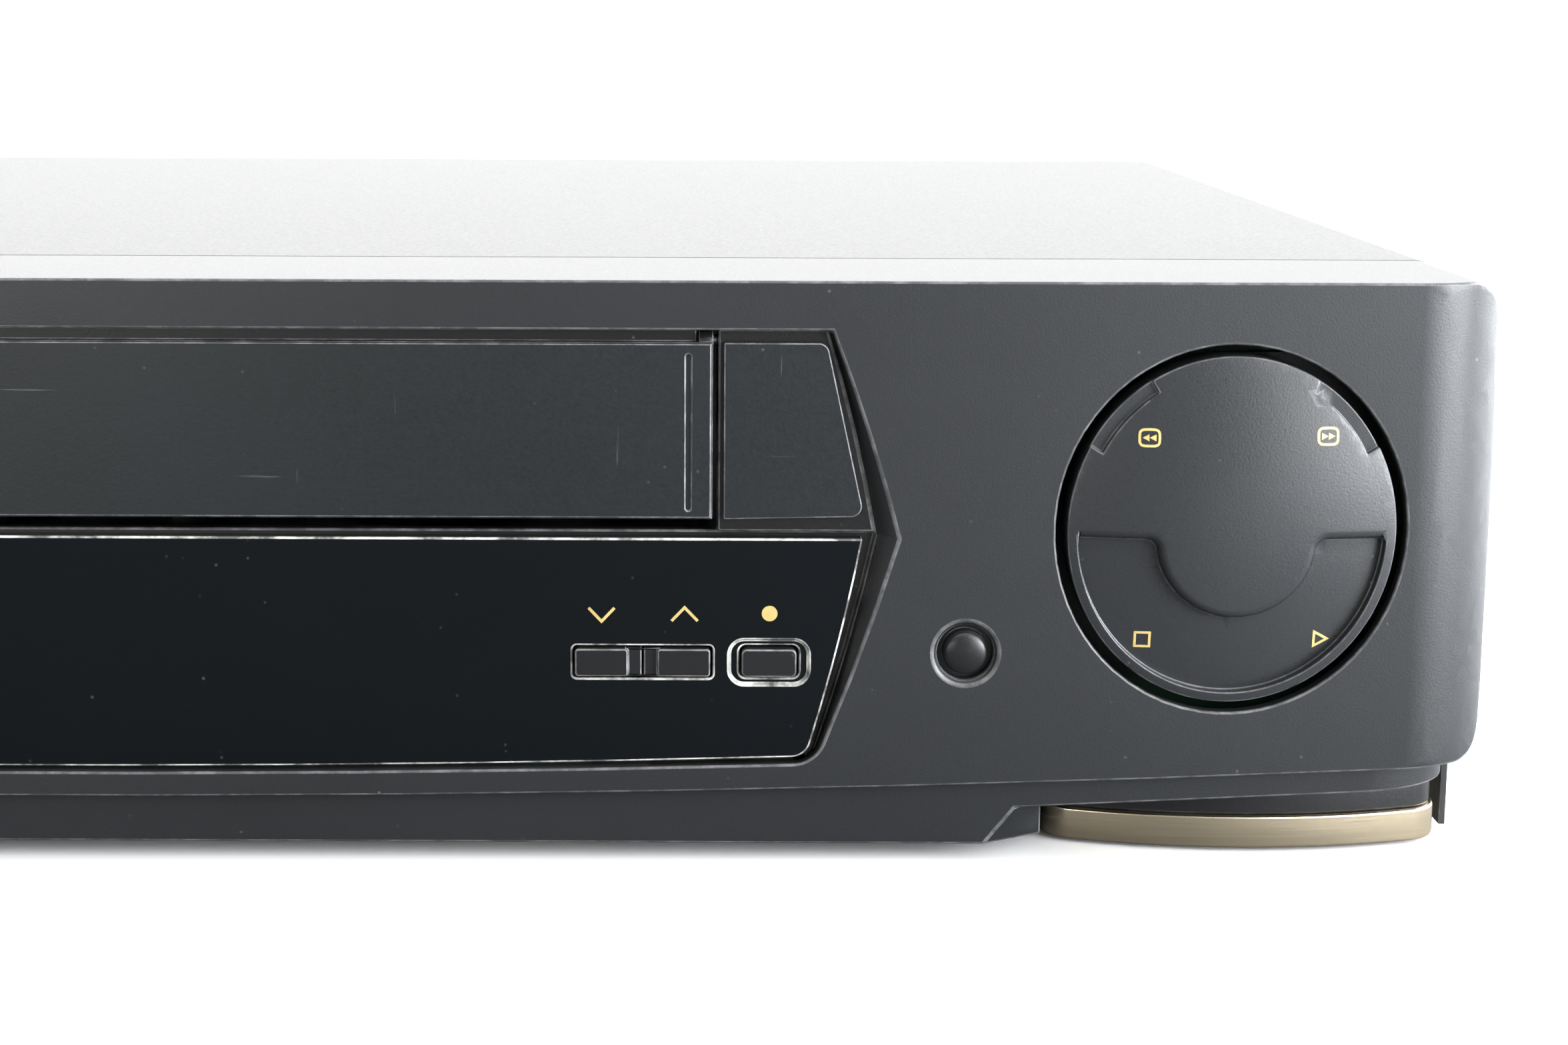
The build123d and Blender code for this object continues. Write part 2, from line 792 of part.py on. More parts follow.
def transport_dial():
    disc = from_front(dial_oval(0), -dial_proud - 1, dial_back_depth)
    disc = disc & (Pos(0, dial_dome_radius - dial_proud, 0) * Sphere(dial_dome_radius))
    rim_depth = dial_dome_radius - dial_proud - math.sqrt(dial_dome_radius ** 2 - dial_half_width ** 2)
    below = Pos(0, crescent_top_z - dial_half_height) * Rectangle(3 * dial_half_width, 2 * dial_half_height)
    tongue = Pos(tongue_x, crescent_top_z) * Circle(tongue_radius)
    crescent = (dial_oval(dial_rim) & below) - tongue
    shoulders = crescent.vertices().group_by(Axis.Y)[-1].sort_by(Axis.X)[1:3]
    crescent = fillet(shoulders, tongue_shoulder_radius)
    floor = Pos(0, dial_dome_radius - dial_proud + crescent_drop, 0) * Sphere(dial_dome_radius)
    disc -= from_front(crescent, -dial_proud - 1, dial_back_depth) - floor
    disc = fillet(tongue_edges(disc), tongue_edge_radius)
    for start in (dial_notch_start, 180 - dial_notch_start - dial_notch_sweep):
        notch = notch_face(start + dial_notch_sweep / 2)
        disc -= from_front(notch, -dial_proud - 1, rim_depth + dial_notch_drop)
    boss_end = pivot_depth + gimbal_half_length
    disc += bar_back(0, 0, dial_boss_radius, dial_back_depth - 1, boss_end)
    pin = bar_across(pivot_depth, 0, pivot_radius, -gimbal_outer_radius + 1, gimbal_outer_radius - 1)
    disc += Rot(0, 45, 0) * pin
    return dial_frame() * disc


def dial_gimbal():
    length = [pivot_depth - gimbal_half_length, pivot_depth + gimbal_half_length]
    ring = bar_back(0, 0, gimbal_outer_radius, *length) - bar_back(0, 0, gimbal_inner_radius, *length)
    reach = cradle_outer_radius - 1
    pin_length = reach - gimbal_inner_radius - 1
    pin_start = reach - pin_length
    for limits in ([pin_start, reach], [-reach, -pin_start]):
        ring += Rot(0, -45, 0) * bar_across(pivot_depth, 0, pivot_radius, *limits)
    hole = bar_across(pivot_depth, 0, pivot_radius + pivot_clearance, -reach, reach)
    ring -= Rot(0, 45, 0) * hole
    return dial_frame() * ring


def dial_cradle():
    plate_front = front_board_depth - 2
    size = cradle_post_offset + cradle_post_radius
    plate = block(-size, size, plate_front, front_board_depth, -size, size)
    ring = bar_back(0, 0, cradle_outer_radius, cradle_front_depth, plate_front + 0.5)
    ring -= bar_back(0, 0, cradle_inner_radius, cradle_front_depth - 1, plate_front + 1)
    hole = bar_across(pivot_depth, 0, pivot_radius + pivot_clearance, -cradle_outer_radius - 1,
                      cradle_outer_radius + 1)
    ring -= Rot(0, -45, 0) * hole
    cradle = plate + ring
    for x in (-cradle_post_offset, cradle_post_offset):
        for z in (-cradle_post_offset, cradle_post_offset):
            cradle += bar_back(x, z, cradle_post_radius, bezel_wall, plate_front + 0.5)
    return dial_frame() * cradle


# ---------------------------------------------------------------- front electronics

def switch(x, z):
    half = switch_size / 2
    return block(x - half, x + half, front_board_depth - switch_height, front_board_depth + 0.5,
                 z - half, z + half)


def front_board():
    wing_x = frame_outer_x + 3
    back = front_board_depth + board_thickness
    board = block(-front_board_half_width, front_board_half_width, front_board_depth, back,
                  front_board_low_z, front_board_mid_z)
    wing = block(wing_x, front_board_half_width, front_board_depth, back,
                 front_board_low_z, front_board_high_z)
    for copy in both_sides(wing):
        board += copy
    key_width = channel_cap_width + channel_tab_width
    down_x = channel_outer_x + key_width / 2
    up_x = down_x + key_width + channel_split_gap
    for x in (down_x, up_x, rec_x):
        board += switch(x, key_row_z)
    board += switch(eject_x, eject_z)
    board += switch(round_key_x, round_key_z)
    board += switch(-round_key_x, round_key_z)
    half = ribbon_width / 2 + 1
    socket = block(ribbon_x - half, ribbon_x + half, back - 0.5, back + 5, ribbon_z - 2, ribbon_z + 3)
    return board + socket


def display_module():
    inset = 1.0
    return block(-display_half_width + inset, display_half_width - inset, display_module_depth,
                 front_board_depth, display_low_z + inset, display_high_z - inset)


def ribbon_cable():
    start = front_board_depth + board_thickness + 5
    half = ribbon_width / 2
    return block(ribbon_x - half, ribbon_x + half, start, main_board_depths[0], ribbon_z,
                 ribbon_z + ribbon_thickness)


# ---------------------------------------------------------------- casing

def screw_back(x, z, head_depth, length, facing):
    """A screw along the depth; its head lies behind head_depth for facing 1."""
    tip = head_depth - facing * length
    head_end = head_depth + facing * screw_head_height
    head = bar_back(x, z, screw_head_radius, *sorted([head_depth, head_end]))
    return head + bar_back(x, z, screw_radius, *sorted([tip, head_depth]))


def top_corners_rounded(plate):
    """A plate across the unit, with its top corners rounded to pass under the cover's bends."""
    return fillet(plate.edges().filter_by(Axis.Y).group_by(Axis.Z)[-1], cover_bend)


def top_cover():
    front = bezel_depth + cover_seam
    outer = block(-cover_half_width, cover_half_width, front, body_depth, cover_bottom_z, unit_height)
    long_edges = outer.edges().filter_by(Axis.Y).group_by(Axis.Z)[-1]
    outer = fillet(long_edges, cover_bend)
    inner = block(-cover_inner_x, cover_inner_x, front - 1, rear_outer_depth, cover_bottom_z - 1,
                  cover_inner_z)
    inner_edges = inner.edges().filter_by(Axis.Y).group_by(Axis.Z)[-1]
    inner = fillet(inner_edges, cover_bend - cover_sheet)
    cover = outer - inner
    lip_bottom = unit_height - cover_lip
    cover -= block(-cover_inner_x, cover_inner_x, rear_outer_depth - 1, body_depth + 1,
                   cover_bottom_z - 1, lip_bottom)
    tab = block(cover_inner_x, cover_half_width, cover_tab_front, front + 2, cover_tab_bottom_z,
                cover_tab_top_z)
    for copy in both_sides(tab):
        cover += copy
    slots = []
    for index in range(vent_count):
        start = vent_first_depth + index * vent_pitch
        slots.append(block(-cover_half_width - 1, cover_half_width + 1, start, start + vent_width,
                           vent_low_z, vent_high_z))
    hole_radius = screw_radius + screw_clearance
    for depth in side_screw_depths:
        slots.append(bar_across(depth, side_screw_z, hole_radius, -cover_half_width - 1,
                                cover_half_width + 1))
    for x in rear_screw_x:
        slots.append(bar_back(x, rear_screw_z, hole_radius, rear_outer_depth - 1, body_depth + 1))
    return cover - slots


def cover_screws():
    screws = []
    tip = tray_half_width - 8
    for depth in side_screw_depths:
        shank = bar_across(depth, side_screw_z, screw_radius, tip, cover_half_width)
        head = bar_across(depth, side_screw_z, screw_head_radius, cover_half_width,
                          cover_half_width + screw_head_height)
        screws.extend(both_sides(shank + head))
    for x in rear_screw_x:
        screws.append(screw_back(x, rear_screw_z, body_depth, 8, 1))
    return screws


def bezel_screws():
    screws = []
    x = bezel_half_width - bezel_wall - 3 - lug_width / 2
    for z_low in lug_z:
        screw = screw_back(x, z_low + lug_height / 2, bezel_depth + bracket_sheet, 8, 1)
        screws.extend(both_sides(screw))
    return screws


def base_tray():
    front = bezel_depth
    tray = block(-tray_half_width, tray_half_width, front, rear_inner_depth, tray_bottom_z, tray_top_z)
    tongue = block(tray_tongue_inner_x, tray_tongue_outer_x, tray_tongue_front, front + 1,
                   tray_bottom_z, tray_top_z)
    flange = block(tray_half_width - tray_flange_sheet, tray_half_width, front + bracket_sheet,
                   rear_inner_depth, tray_bottom_z, tray_flange_top_z)
    for piece in both_sides(tongue) + both_sides(flange):
        tray += piece
    leg_height = board_z
    for x_pair, depth_pair in ((main_board_x, main_board_depths), (supply_board_x, supply_board_depths)):
        for x in (x_pair[0] + standoff_inset, x_pair[1] - standoff_inset):
            for depth in (depth_pair[0] + standoff_inset, depth_pair[1] - standoff_inset):
                tray += post(x, depth, standoff_radius, tray_top_z - 0.5, leg_height)
    cuts = []
    for depth in side_screw_depths:
        cuts.append(bar_across(depth, side_screw_z, screw_radius, -tray_half_width - 1,
                               tray_half_width + 1))
    for index in range(9):
        x = -88 + index * 22
        cuts.append(block(x - 2, x + 2, 60, 100, tray_bottom_z - 1, tray_top_z + 1))
    return tray - cuts


def front_bracket():
    """The steel plate behind the bezel that carries it on the tray."""
    back = bezel_depth + bracket_sheet
    half = tray_half_width
    plate = top_corners_rounded(block(-half, half, bezel_depth, back, tray_top_z, bracket_top_z))
    opening_half = frame_outer_x + bracket_side_gap
    plate -= block(-opening_half, opening_half, bezel_depth - 1, back + 1,
                   deck_bottom_z - bracket_low_gap, side_frame_top_z + bracket_high_gap)
    slot_half = ribbon_width / 2 + 4
    plate -= block(ribbon_x - slot_half, ribbon_x + slot_half, bezel_depth - 1, back + 1,
                   ribbon_z - 5, ribbon_z + 6)
    x = bezel_half_width - bezel_wall - 3 - lug_width / 2
    for z_low in lug_z:
        hole = bar_back(x, z_low + lug_height / 2, screw_radius + screw_clearance,
                        bezel_depth - 1, back + 1)
        for copy in both_sides(hole):
            plate -= copy
    return plate


def rear_panel():
    panel = block(-rear_panel_half_width, rear_panel_half_width, rear_inner_depth, rear_outer_depth,
                  tray_bottom_z, cover_inner_z - 0.5)
    panel = top_corners_rounded(panel)
    cuts = []
    low = rear_inner_depth - 1
    high = rear_outer_depth + 1
    for x in scart_x:
        half_width = scart_width / 2 + panel_hole_gap
        half_height = scart_height / 2 + panel_hole_gap
        cuts.append(block(x - half_width, x + half_width, low, high,
                          scart_z - half_height, scart_z + half_height))
    collar_gap = socket_collar + panel_hole_gap
    for x in phono_x:
        cuts.append(bar_back(x, phono_z, phono_radius + collar_gap, low, high))
    for side in (-1, 1):
        x = tuner_x + side * aerial_spacing / 2
        cuts.append(bar_back(x, tuner_z + tuner_height / 2, aerial_radius + collar_gap, low, high))
    half_width = inlet_width / 2 + panel_hole_gap
    half_height = inlet_height / 2 + panel_hole_gap
    cuts.append(block(inlet_x - half_width, inlet_x + half_width, low, high,
                      inlet_z - half_height, inlet_z + half_height))
    for x in rear_screw_x:
        cuts.append(bar_back(x, rear_screw_z, screw_radius, low, high))
    for index in range(10):
        x = -115 + index * 5
        cuts.append(block(x, x + 2.5, low, high, 30, 46))
    return panel - cuts


def foot_outline(inset):
    """A foot from below: a bowed front edge and rounded corners."""
    half = foot_half_width - inset
    front = foot_front_depth + inset
    back = foot_back_depth - inset
    shoulder = front + foot_front_bow
    edges = [
        ThreePointArc((-half, shoulder), (0, front), (half, shoulder)),
        Line((half, shoulder), (half, back)),
        Line((half, back), (-half, back)),
        Line((-half, back), (-half, shoulder)),
    ]
    face = make_face(edges)
    return Pos(foot_x, 0) * fillet(face.vertices(), foot_corner_radius - inset)


def foot_layer(inset, z_low, z_high):
    return extrude(Pos(0, 0, z_low) * foot_outline(inset), amount=z_high - z_low)


def foot_shells():
    return both_sides(foot_layer(0, foot_pad_thickness, foot_shell_top_z))


def foot_rings():
    return both_sides(foot_layer(foot_ring_inset, foot_shell_top_z, tray_bottom_z))


def foot_pads():
    return both_sides(foot_layer(foot_pad_inset, 0, foot_pad_thickness))


def rear_feet():
    foot = post(rear_foot_x, rear_foot_depth, rear_foot_radius, 0, tray_bottom_z)
    foot = chamfer(foot.edges().group_by(Axis.Z)[0], 1.0)
    return both_sides(foot)


# ---------------------------------------------------------------- tape deck

def guide_direction():
    dx = guide_end_x - guide_start_x
    dy = guide_end_depth - guide_start_depth
    length = math.hypot(dx, dy)
    return dx / length, dy / length, length


def guide_slot():
    """The slot in the deck that the right tape guide slides along."""
    ux, uy, length = guide_direction()
    overall = length + guide_slot_width + 2 * guide_slot_margin
    middle_x = (guide_start_x + guide_end_x) / 2
    middle_depth = (guide_start_depth + guide_end_depth) / 2
    angle = math.degrees(math.atan2(uy, ux))
    face = Pos(middle_x, middle_depth) * SlotOverall(overall, guide_slot_width, rotation=angle)
    return extrude(Pos(0, 0, deck_bottom_z - 1) * face, amount=deck_sheet + 2)


def deck_chassis():
    plate = block(-deck_half_width, deck_half_width, deck_front, deck_back, deck_bottom_z, deck_top_z)
    for x in (-deck_half_width + deck_leg_inset, deck_half_width - deck_leg_inset):
        for depth in (deck_front + deck_leg_inset, deck_back - deck_leg_inset):
            plate += post(x, depth, deck_leg_radius, tray_top_z, deck_bottom_z + 0.5)
    for slot in both_sides(guide_slot()):
        plate -= slot
    plate += post(capstan_x, capstan_depth, capstan_bearing_radius, deck_bottom_z - 1, deck_top_z + 4)
    plate -= post(capstan_x, capstan_depth, capstan_radius + shaft_clearance, 0, 90)
    posts = [
        (-reel_x, reel_depth, reel_top_z - 2),
        (reel_x, reel_depth, reel_top_z - 2),
        (0, idler_pivot_depth, deck_top_z + 5),
        (pinch_pivot_x, pinch_pivot_depth, deck_top_z + 9),
        (tension_pivot_x, tension_pivot_depth, deck_top_z + 5),
        (cam_x, cam_depth, cam_z + cam_height + 3),
    ]
    for x, depth, top in posts:
        plate += post(x, depth, reel_post_radius, deck_top_z - 0.5, top)
    return plate


def reel(side):
    table = post(side * reel_x, reel_depth, reel_table_radius, reel_table_z,
                 reel_table_z + reel_table_height)
    spindle = post(side * reel_x, reel_depth, reel_spindle_radius, reel_table_z, reel_top_z)
    for turn in (0, 120, 240):
        fin = block(reel_spindle_radius - 0.5, reel_spindle_radius + 1.5, -0.8, 0.8,
                    reel_table_z, reel_top_z - 4)
        spindle += Pos(side * reel_x, reel_depth, 0) * Rot(0, 0, turn) * fin
    bore = post(side * reel_x, reel_depth, reel_post_radius + shaft_clearance, 0, reel_top_z - 1.5)
    return table + spindle - bore


def idler_arm():
    low = deck_top_z + 0.4
    high = low + 1.2
    end = idler_pivot_depth + idler_arm_length
    arm = block(-3, 3, idler_pivot_depth, end, low, high)
    arm += post(0, idler_pivot_depth, 5, low, high + 2)
    arm += post(0, end, 3, low, high)
    arm += post(0, end, 1.5, low, high + 6)
    return arm - post(0, idler_pivot_depth, reel_post_radius + shaft_clearance, 0, 90)


def idler_wheel():
    low = deck_top_z + 2.0
    end = idler_pivot_depth + idler_arm_length
    wheel = post(0, end, idler_wheel_radius, low, low + 4)
    groove = post(0, end, idler_wheel_radius - 2, low + 3, low + 5)
    wheel -= groove - post(0, end, 3.5, low + 2, low + 6)
    return wheel - post(0, end, 1.5 + shaft_clearance, 0, 90)


def at_angle(x, depth, length, angle):
    turn = math.radians(angle)
    return x + length * math.cos(turn), depth + length * math.sin(turn)


def swing_arm(x, depth, length, angle, z_low, thickness, hub_radius):
    """A flat arm from a bored hub to a round end."""
    end_x, end_depth = at_angle(x, depth, length, angle)
    strip = Pos(x, depth, z_low + thickness / 2) * Rot(0, 0, angle)
    arm = strip * Pos(length / 2, 0, 0) * Box(length, 5, thickness)
    arm += post(x, depth, hub_radius, z_low, z_low + thickness + 2)
    arm += post(end_x, end_depth, 3.2, z_low, z_low + thickness)
    return arm - post(x, depth, reel_post_radius + shaft_clearance, 0, 90)


def pinch_arm():
    low = deck_top_z + 5.0
    arm = swing_arm(pinch_pivot_x, pinch_pivot_depth, pinch_arm_length, pinch_rest_angle, low, 1.6, 4.5)
    end_x, end_depth = at_angle(pinch_pivot_x, pinch_pivot_depth, pinch_arm_length, pinch_rest_angle)
    return arm + post(end_x, end_depth, 1.5, low, low + 18)


def pinch_roller():
    low = deck_top_z + 7.0
    end_x, end_depth = at_angle(pinch_pivot_x, pinch_pivot_depth, pinch_arm_length, pinch_rest_angle)
    roller = post(end_x, end_depth, pinch_roller_radius, low, low + 14)
    return roller - post(end_x, end_depth, 1.5 + shaft_clearance, 0, 90)


def tension_arm():
    low = deck_top_z + 1.5
    x, depth = tension_pivot_x, tension_pivot_depth
    arm = swing_arm(x, depth, tension_arm_length, tension_rest_angle, low, 1.2, 4.0)
    end_x, end_depth = at_angle(x, depth, tension_arm_length, tension_rest_angle)
    return arm + post(end_x, end_depth, 1.5, low, 46)


def tape_guide():
    """The right guide: a shoe under the deck, a base on it, and a flanged roller post."""
    x, depth = guide_start_x, guide_start_depth
    clear = 0.15
    guide = post(x, depth, guide_base_radius, deck_bottom_z - 2.5, deck_bottom_z - clear)
    guide += post(x, depth, guide_slot_width / 2 - clear, deck_bottom_z - 1, deck_top_z + 1)
    guide += post(x, depth, guide_base_radius, deck_top_z + clear, deck_top_z + 4)
    guide += post(x, depth, guide_post_radius, deck_top_z + 3, 47)
    for z in (30, 45):
        guide += post(x, depth, guide_post_radius + 1, z, z + 1.2)
    return guide


def fixed_head(side):
    """A head block on its own base plate, on the right for side 1."""
    x = side * head_x
    base = block(x - 6, x + 6, head_depth - 5, head_depth + 7, deck_top_z, deck_top_z + 1.5)
    stem = block(x - 3, x + 3, head_depth - 2, head_depth + 4, deck_top_z, 31)
    body = block(x - 4.5, x + 4.5, head_depth - 4, head_depth + 4, 30, 46)
    front = fillet(body.edges().filter_by(Axis.Z).group_by(Axis.Y)[0], 2.5)
    return base + stem + front


def drum_frame():
    return Pos(0, drum_depth, drum_base_z) * Rot(-drum_tilt, 0, 0)


def lower_drum():
    body = Pos(0, 0, lower_drum_height / 2) * Cylinder(drum_radius, lower_drum_height)
    lead = Pos(0, 0, lower_drum_height - 3) * (Cylinder(drum_radius + 1, 1) - Cylinder(drum_radius - 0.5, 1))
    tilted = drum_frame() * (body - lead)
    foot = post(0, drum_depth, 22, deck_top_z, drum_base_z + 4)
    bore = drum_frame() * (Cylinder(drum_shaft_radius + shaft_clearance, 60))
    return tilted + foot - bore


def upper_drum():
    low = lower_drum_height + drum_gap
    body = Pos(0, 0, low + upper_drum_height / 2) * Cylinder(drum_radius, upper_drum_height)
    body = chamfer(body.edges().group_by(Axis.Z)[-1], 0.8)
    dish = Pos(0, 0, low + upper_drum_height) * Cylinder(drum_radius - 8, 4)
    shaft = Pos(0, 0, low / 2 + 2) * Cylinder(drum_shaft_radius, low + 2)
    hub = Pos(0, 0, low + upper_drum_height - 1) * Cylinder(8, 5)
    return drum_frame() * (body - dish + shaft + hub)


def capstan_rotor():
    """The motor's rotor under the deck is also the flywheel of the capstan."""
    high = rotor_low_z + rotor_height
    rotor = post(capstan_x, capstan_depth, rotor_radius, rotor_low_z, high)
    rotor += post(capstan_x, capstan_depth, capstan_radius, rotor_low_z, capstan_top_z)
    return rotor


def capstan_stator():
    """The motor's board under the rotor, on the tray."""
    side = rotor_radius + 2
    plate = block(capstan_x - side, capstan_x + side, capstan_depth - side, capstan_depth + side,
                  tray_top_z, tray_top_z + board_thickness)
    coils = []
    for index in range(6):
        x, depth = at_angle(capstan_x, capstan_depth, rotor_radius - 8, index * 60)
        coils.append(post(x, depth, 5.5, tray_top_z + 1, rotor_low_z - 0.8))
    for coil in coils:
        plate += coil
    return plate


def cam_wheel():
    wheel = post(cam_x, cam_depth, cam_radius, cam_z, cam_z + cam_height)
    belt_low = cam_z + 1
    groove = post(cam_x, cam_depth, cam_radius + 1, belt_low, belt_low + belt_height + 0.4)
    groove -= post(cam_x, cam_depth, cam_radius - belt_thickness - 0.2, 0, 90)
    window = post(cam_x + 8, cam_depth, 3.5, 0, 90)
    wheel -= groove
    wheel -= window
    return wheel - post(cam_x, cam_depth, reel_post_radius + shaft_clearance, 0, 90)


def loading_motor():
    base_z = deck_top_z + 8
    motor = post(motor_x, motor_depth, motor_radius, base_z, base_z + motor_height)
    for offset in (-1, 1):
        motor += post(motor_x + 7 * offset, motor_depth, 1.8, deck_top_z, base_z + 1)
    return motor


def loading_pulley():
    """The motor's pulley and the free end of its shaft."""
    belt_low = cam_z + 1
    pulley = post(motor_x, motor_depth, pulley_radius, cam_z, cam_z + cam_height)
    groove = post(motor_x, motor_depth, pulley_radius + 1, belt_low, belt_low + belt_height + 0.4)
    groove -= post(motor_x, motor_depth, pulley_radius - belt_thickness - 0.2, 0, 90)
    return pulley - groove + post(motor_x, motor_depth, 1.0, cam_z, deck_top_z + 7.9)


def belt_loop(radius_one, radius_two):
    """A straight-sided loop round two wheels, seen from above."""
    dx = cam_x - motor_x
    dy = cam_depth - motor_depth
    span = math.hypot(dx, dy)
    heading = math.atan2(dy, dx)
    lean = math.acos((radius_one - radius_two) / span)
    points = []
    for centre, radius in (((motor_x, motor_depth), radius_one), ((cam_x, cam_depth), radius_two)):
        for side in (1, -1):
            turn = heading + side * lean
            points.append((centre[0] + radius * math.cos(turn), centre[1] + radius * math.sin(turn)))
    back_of_motor = (motor_x - radius_one * math.cos(heading), motor_depth - radius_one * math.sin(heading))
    front_of_cam = (cam_x + radius_two * math.cos(heading), cam_depth + radius_two * math.sin(heading))
    edges = [
        ThreePointArc(points[0], back_of_motor, points[1]),
        Line(points[1], points[3]),
        ThreePointArc(points[3], front_of_cam, points[2]),
        Line(points[2], points[0]),
    ]
    return make_face(edges)


def loading_belt():
    inner_motor = pulley_radius - belt_thickness - 0.2 + pulley_gap
    inner_cam = cam_radius - belt_thickness - 0.2 + pulley_gap
    outer = belt_loop(inner_motor + belt_thickness, inner_cam + belt_thickness)
    inner = belt_loop(inner_motor, inner_cam)
    return extrude(Pos(0, 0, cam_z + 1.2) * (outer - inner), amount=belt_height)


# ---------------------------------------------------------------- cassette carriage

def cassette_holder():
    back = holder_front + holder_length
    roof_top = holder_roof_z + holder_sheet
    floor_low = holder_floor_z - holder_sheet
    roof = block(-holder_outer, holder_outer, holder_front, back, holder_roof_z, roof_top)
    roof -= block(-holder_half / 2, holder_half / 2, holder_front + 30, back - 20,
                  holder_roof_z - 1, roof_top + 1)
    wall = block(holder_half, holder_outer, holder_front, back, floor_low, roof_top)
    ledge = block(holder_outer - holder_ledge, holder_outer, holder_front, back, floor_low, holder_floor_z)
    side = wall + ledge
    for depth in holder_pin_depths:
        side += bar_across(depth, holder_pin_z, holder_pin_radius, holder_half + 0.5, sledge_outer_x)
    for copy in both_sides(side):
        roof += copy
    return roof


def carriage_sledge():
    """Two slotted side plates under a bridge: it slides back, and the holder drops in its slots."""
    wall = block(sledge_inner_x, sledge_outer_x, sledge_front, sledge_back, sledge_low_z,
                 sledge_bar_z + 1.2)
    slot_half = holder_pin_radius + 0.1
    for depth in holder_pin_depths:
        wall -= block(sledge_inner_x - 1, sledge_outer_x + 1, depth - slot_half, depth + slot_half,
                      holder_pin_z - lift_stroke - slot_half, holder_pin_z + slot_half)
    for depth in (sledge_front + 6, sledge_back - 6):
        wall += bar_across(depth, runner_z, runner_radius, sledge_outer_x - 0.6, frame_outer_x)
    bridge = block(-sledge_outer_x, sledge_outer_x, sledge_front, sledge_front + 14,
                   sledge_bar_z, sledge_bar_z + 1.2)
    for copy in both_sides(wall):
        bridge += copy
    return bridge


def carriage_side():
    """The right side frame with the long slot for the runners of the sledge."""
    plate = block(frame_inner_x, frame_outer_x, side_frame_front, side_frame_back, deck_top_z,
                  side_frame_top_z)
    slot_half = runner_radius + 0.1
    slot_front = sledge_front + 6 - slot_half
    slot_back = sledge_back - 6 + sledge_stroke + slot_half
    plate -= block(frame_inner_x - 1, frame_outer_x + 1, slot_front, slot_back,
                   runner_z - slot_half, runner_z + slot_half)
    foot = block(frame_outer_x - 1, frame_outer_x + 7, side_frame_front, side_frame_back,
                 deck_top_z, deck_top_z + 1.2)
    return plate + foot


# ---------------------------------------------------------------- boards and sockets

def main_board():
    top = board_z + board_thickness
    board = block(*main_board_x, *main_board_depths, board_z, top)
    half = ribbon_width / 2 + 1
    left = main_board_x[0]
    front = main_board_depths[0]
    board += block(ribbon_x - half, ribbon_x + half, front, front + 6, top - 0.5, ribbon_z + 3)
    chips = [(14, 40, 28, 28), (50, 44, 28, 14), (10, 90, 24, 10)]
    for (offset_x, offset, width, length), height in zip(chips, chip_heights):
        board += block(left + offset_x, left + offset_x + width, front + offset, front + offset + length,
                       top - 0.5, top + height)
    can_x = left + 48
    can_front = front + 80
    board += block(can_x, can_x + filter_can_size[0], can_front, can_front + filter_can_size[1],
                   top - 0.5, top + filter_can_size[2])
    for index in range(coil_count):
        board += post(left + coil_pitch * (index + 1), front + 130, coil_radius, top - 0.5,
                      top + coil_height)
    return board


def supply_board():
    top = board_z + board_thickness
    board = block(*supply_board_x, *supply_board_depths, board_z, top)
    right = supply_board_x[1]
    back = supply_board_depths[1]
    for inset, rear_gap, radius, height in supply_capacitors:
        board += post(right - inset, back - rear_gap, radius, top - 0.5, top + height)
    return board


def heat_sink():
    bottom = board_z + board_thickness
    left = supply_board_x[0] + sink_board_inset
    web_front = supply_board_depths[0] + sink_board_inset + 8
    sink = block(left, left + sink_width, web_front, web_front + sink_web, bottom, bottom + sink_height)
    pitch = (sink_width - 2 * sink_fin_thickness) / (sink_fin_count - 1)
    for index in range(sink_fin_count):
        x = left + sink_fin_thickness / 2 + index * pitch
        sink += block(x, x + sink_fin_thickness, web_front - sink_fin_depth, web_front + 1,
                      bottom, bottom + sink_height)
    return sink


def mains_transformer():
    width, length, height = transformer_size
    bottom = board_z + board_thickness
    x = transformer_x
    depth = supply_board_depths[1] - transformer_rear_gap - length / 2
    core = block(x - width / 2, x + width / 2, depth - length / 2 + 8, depth + length / 2 - 8,
                 bottom, bottom + height)
    coil = block(x - width / 2 + 8, x + width / 2 - 8, depth - length / 2, depth + length / 2,
                 bottom + 4, bottom + height - 4)
    coil = fillet(coil.edges().filter_by(Axis.X), 4)
    return core + coil


def tuner_can():
    can = block(tuner_x - tuner_width / 2, tuner_x + tuner_width / 2, rear_inner_depth - tuner_length,
                rear_inner_depth, tuner_z, tuner_z + tuner_height)
    middle_z = tuner_z + tuner_height / 2
    end = body_depth + socket_proud
    for side in (-1, 1):
        x = tuner_x + side * aerial_spacing / 2
        can += bar_back(x, middle_z, aerial_radius + socket_collar, rear_inner_depth - 1, rear_outer_depth)
        can += bar_back(x, middle_z, aerial_radius, rear_outer_depth - 1, end)
        can -= bar_back(x, middle_z, aerial_bore_radius, end - 7, end + 1)
        can += bar_back(x, middle_z, 1.1, end - 8, end - 1)
    leg_top = tuner_z + 0.5
    for x in (tuner_x - tuner_width / 2 + 4, tuner_x + tuner_width / 2 - 4):
        depth = rear_inner_depth - tuner_length + 4
        can += post(x, depth, 1.2, board_z + board_thickness, leg_top)
    return can


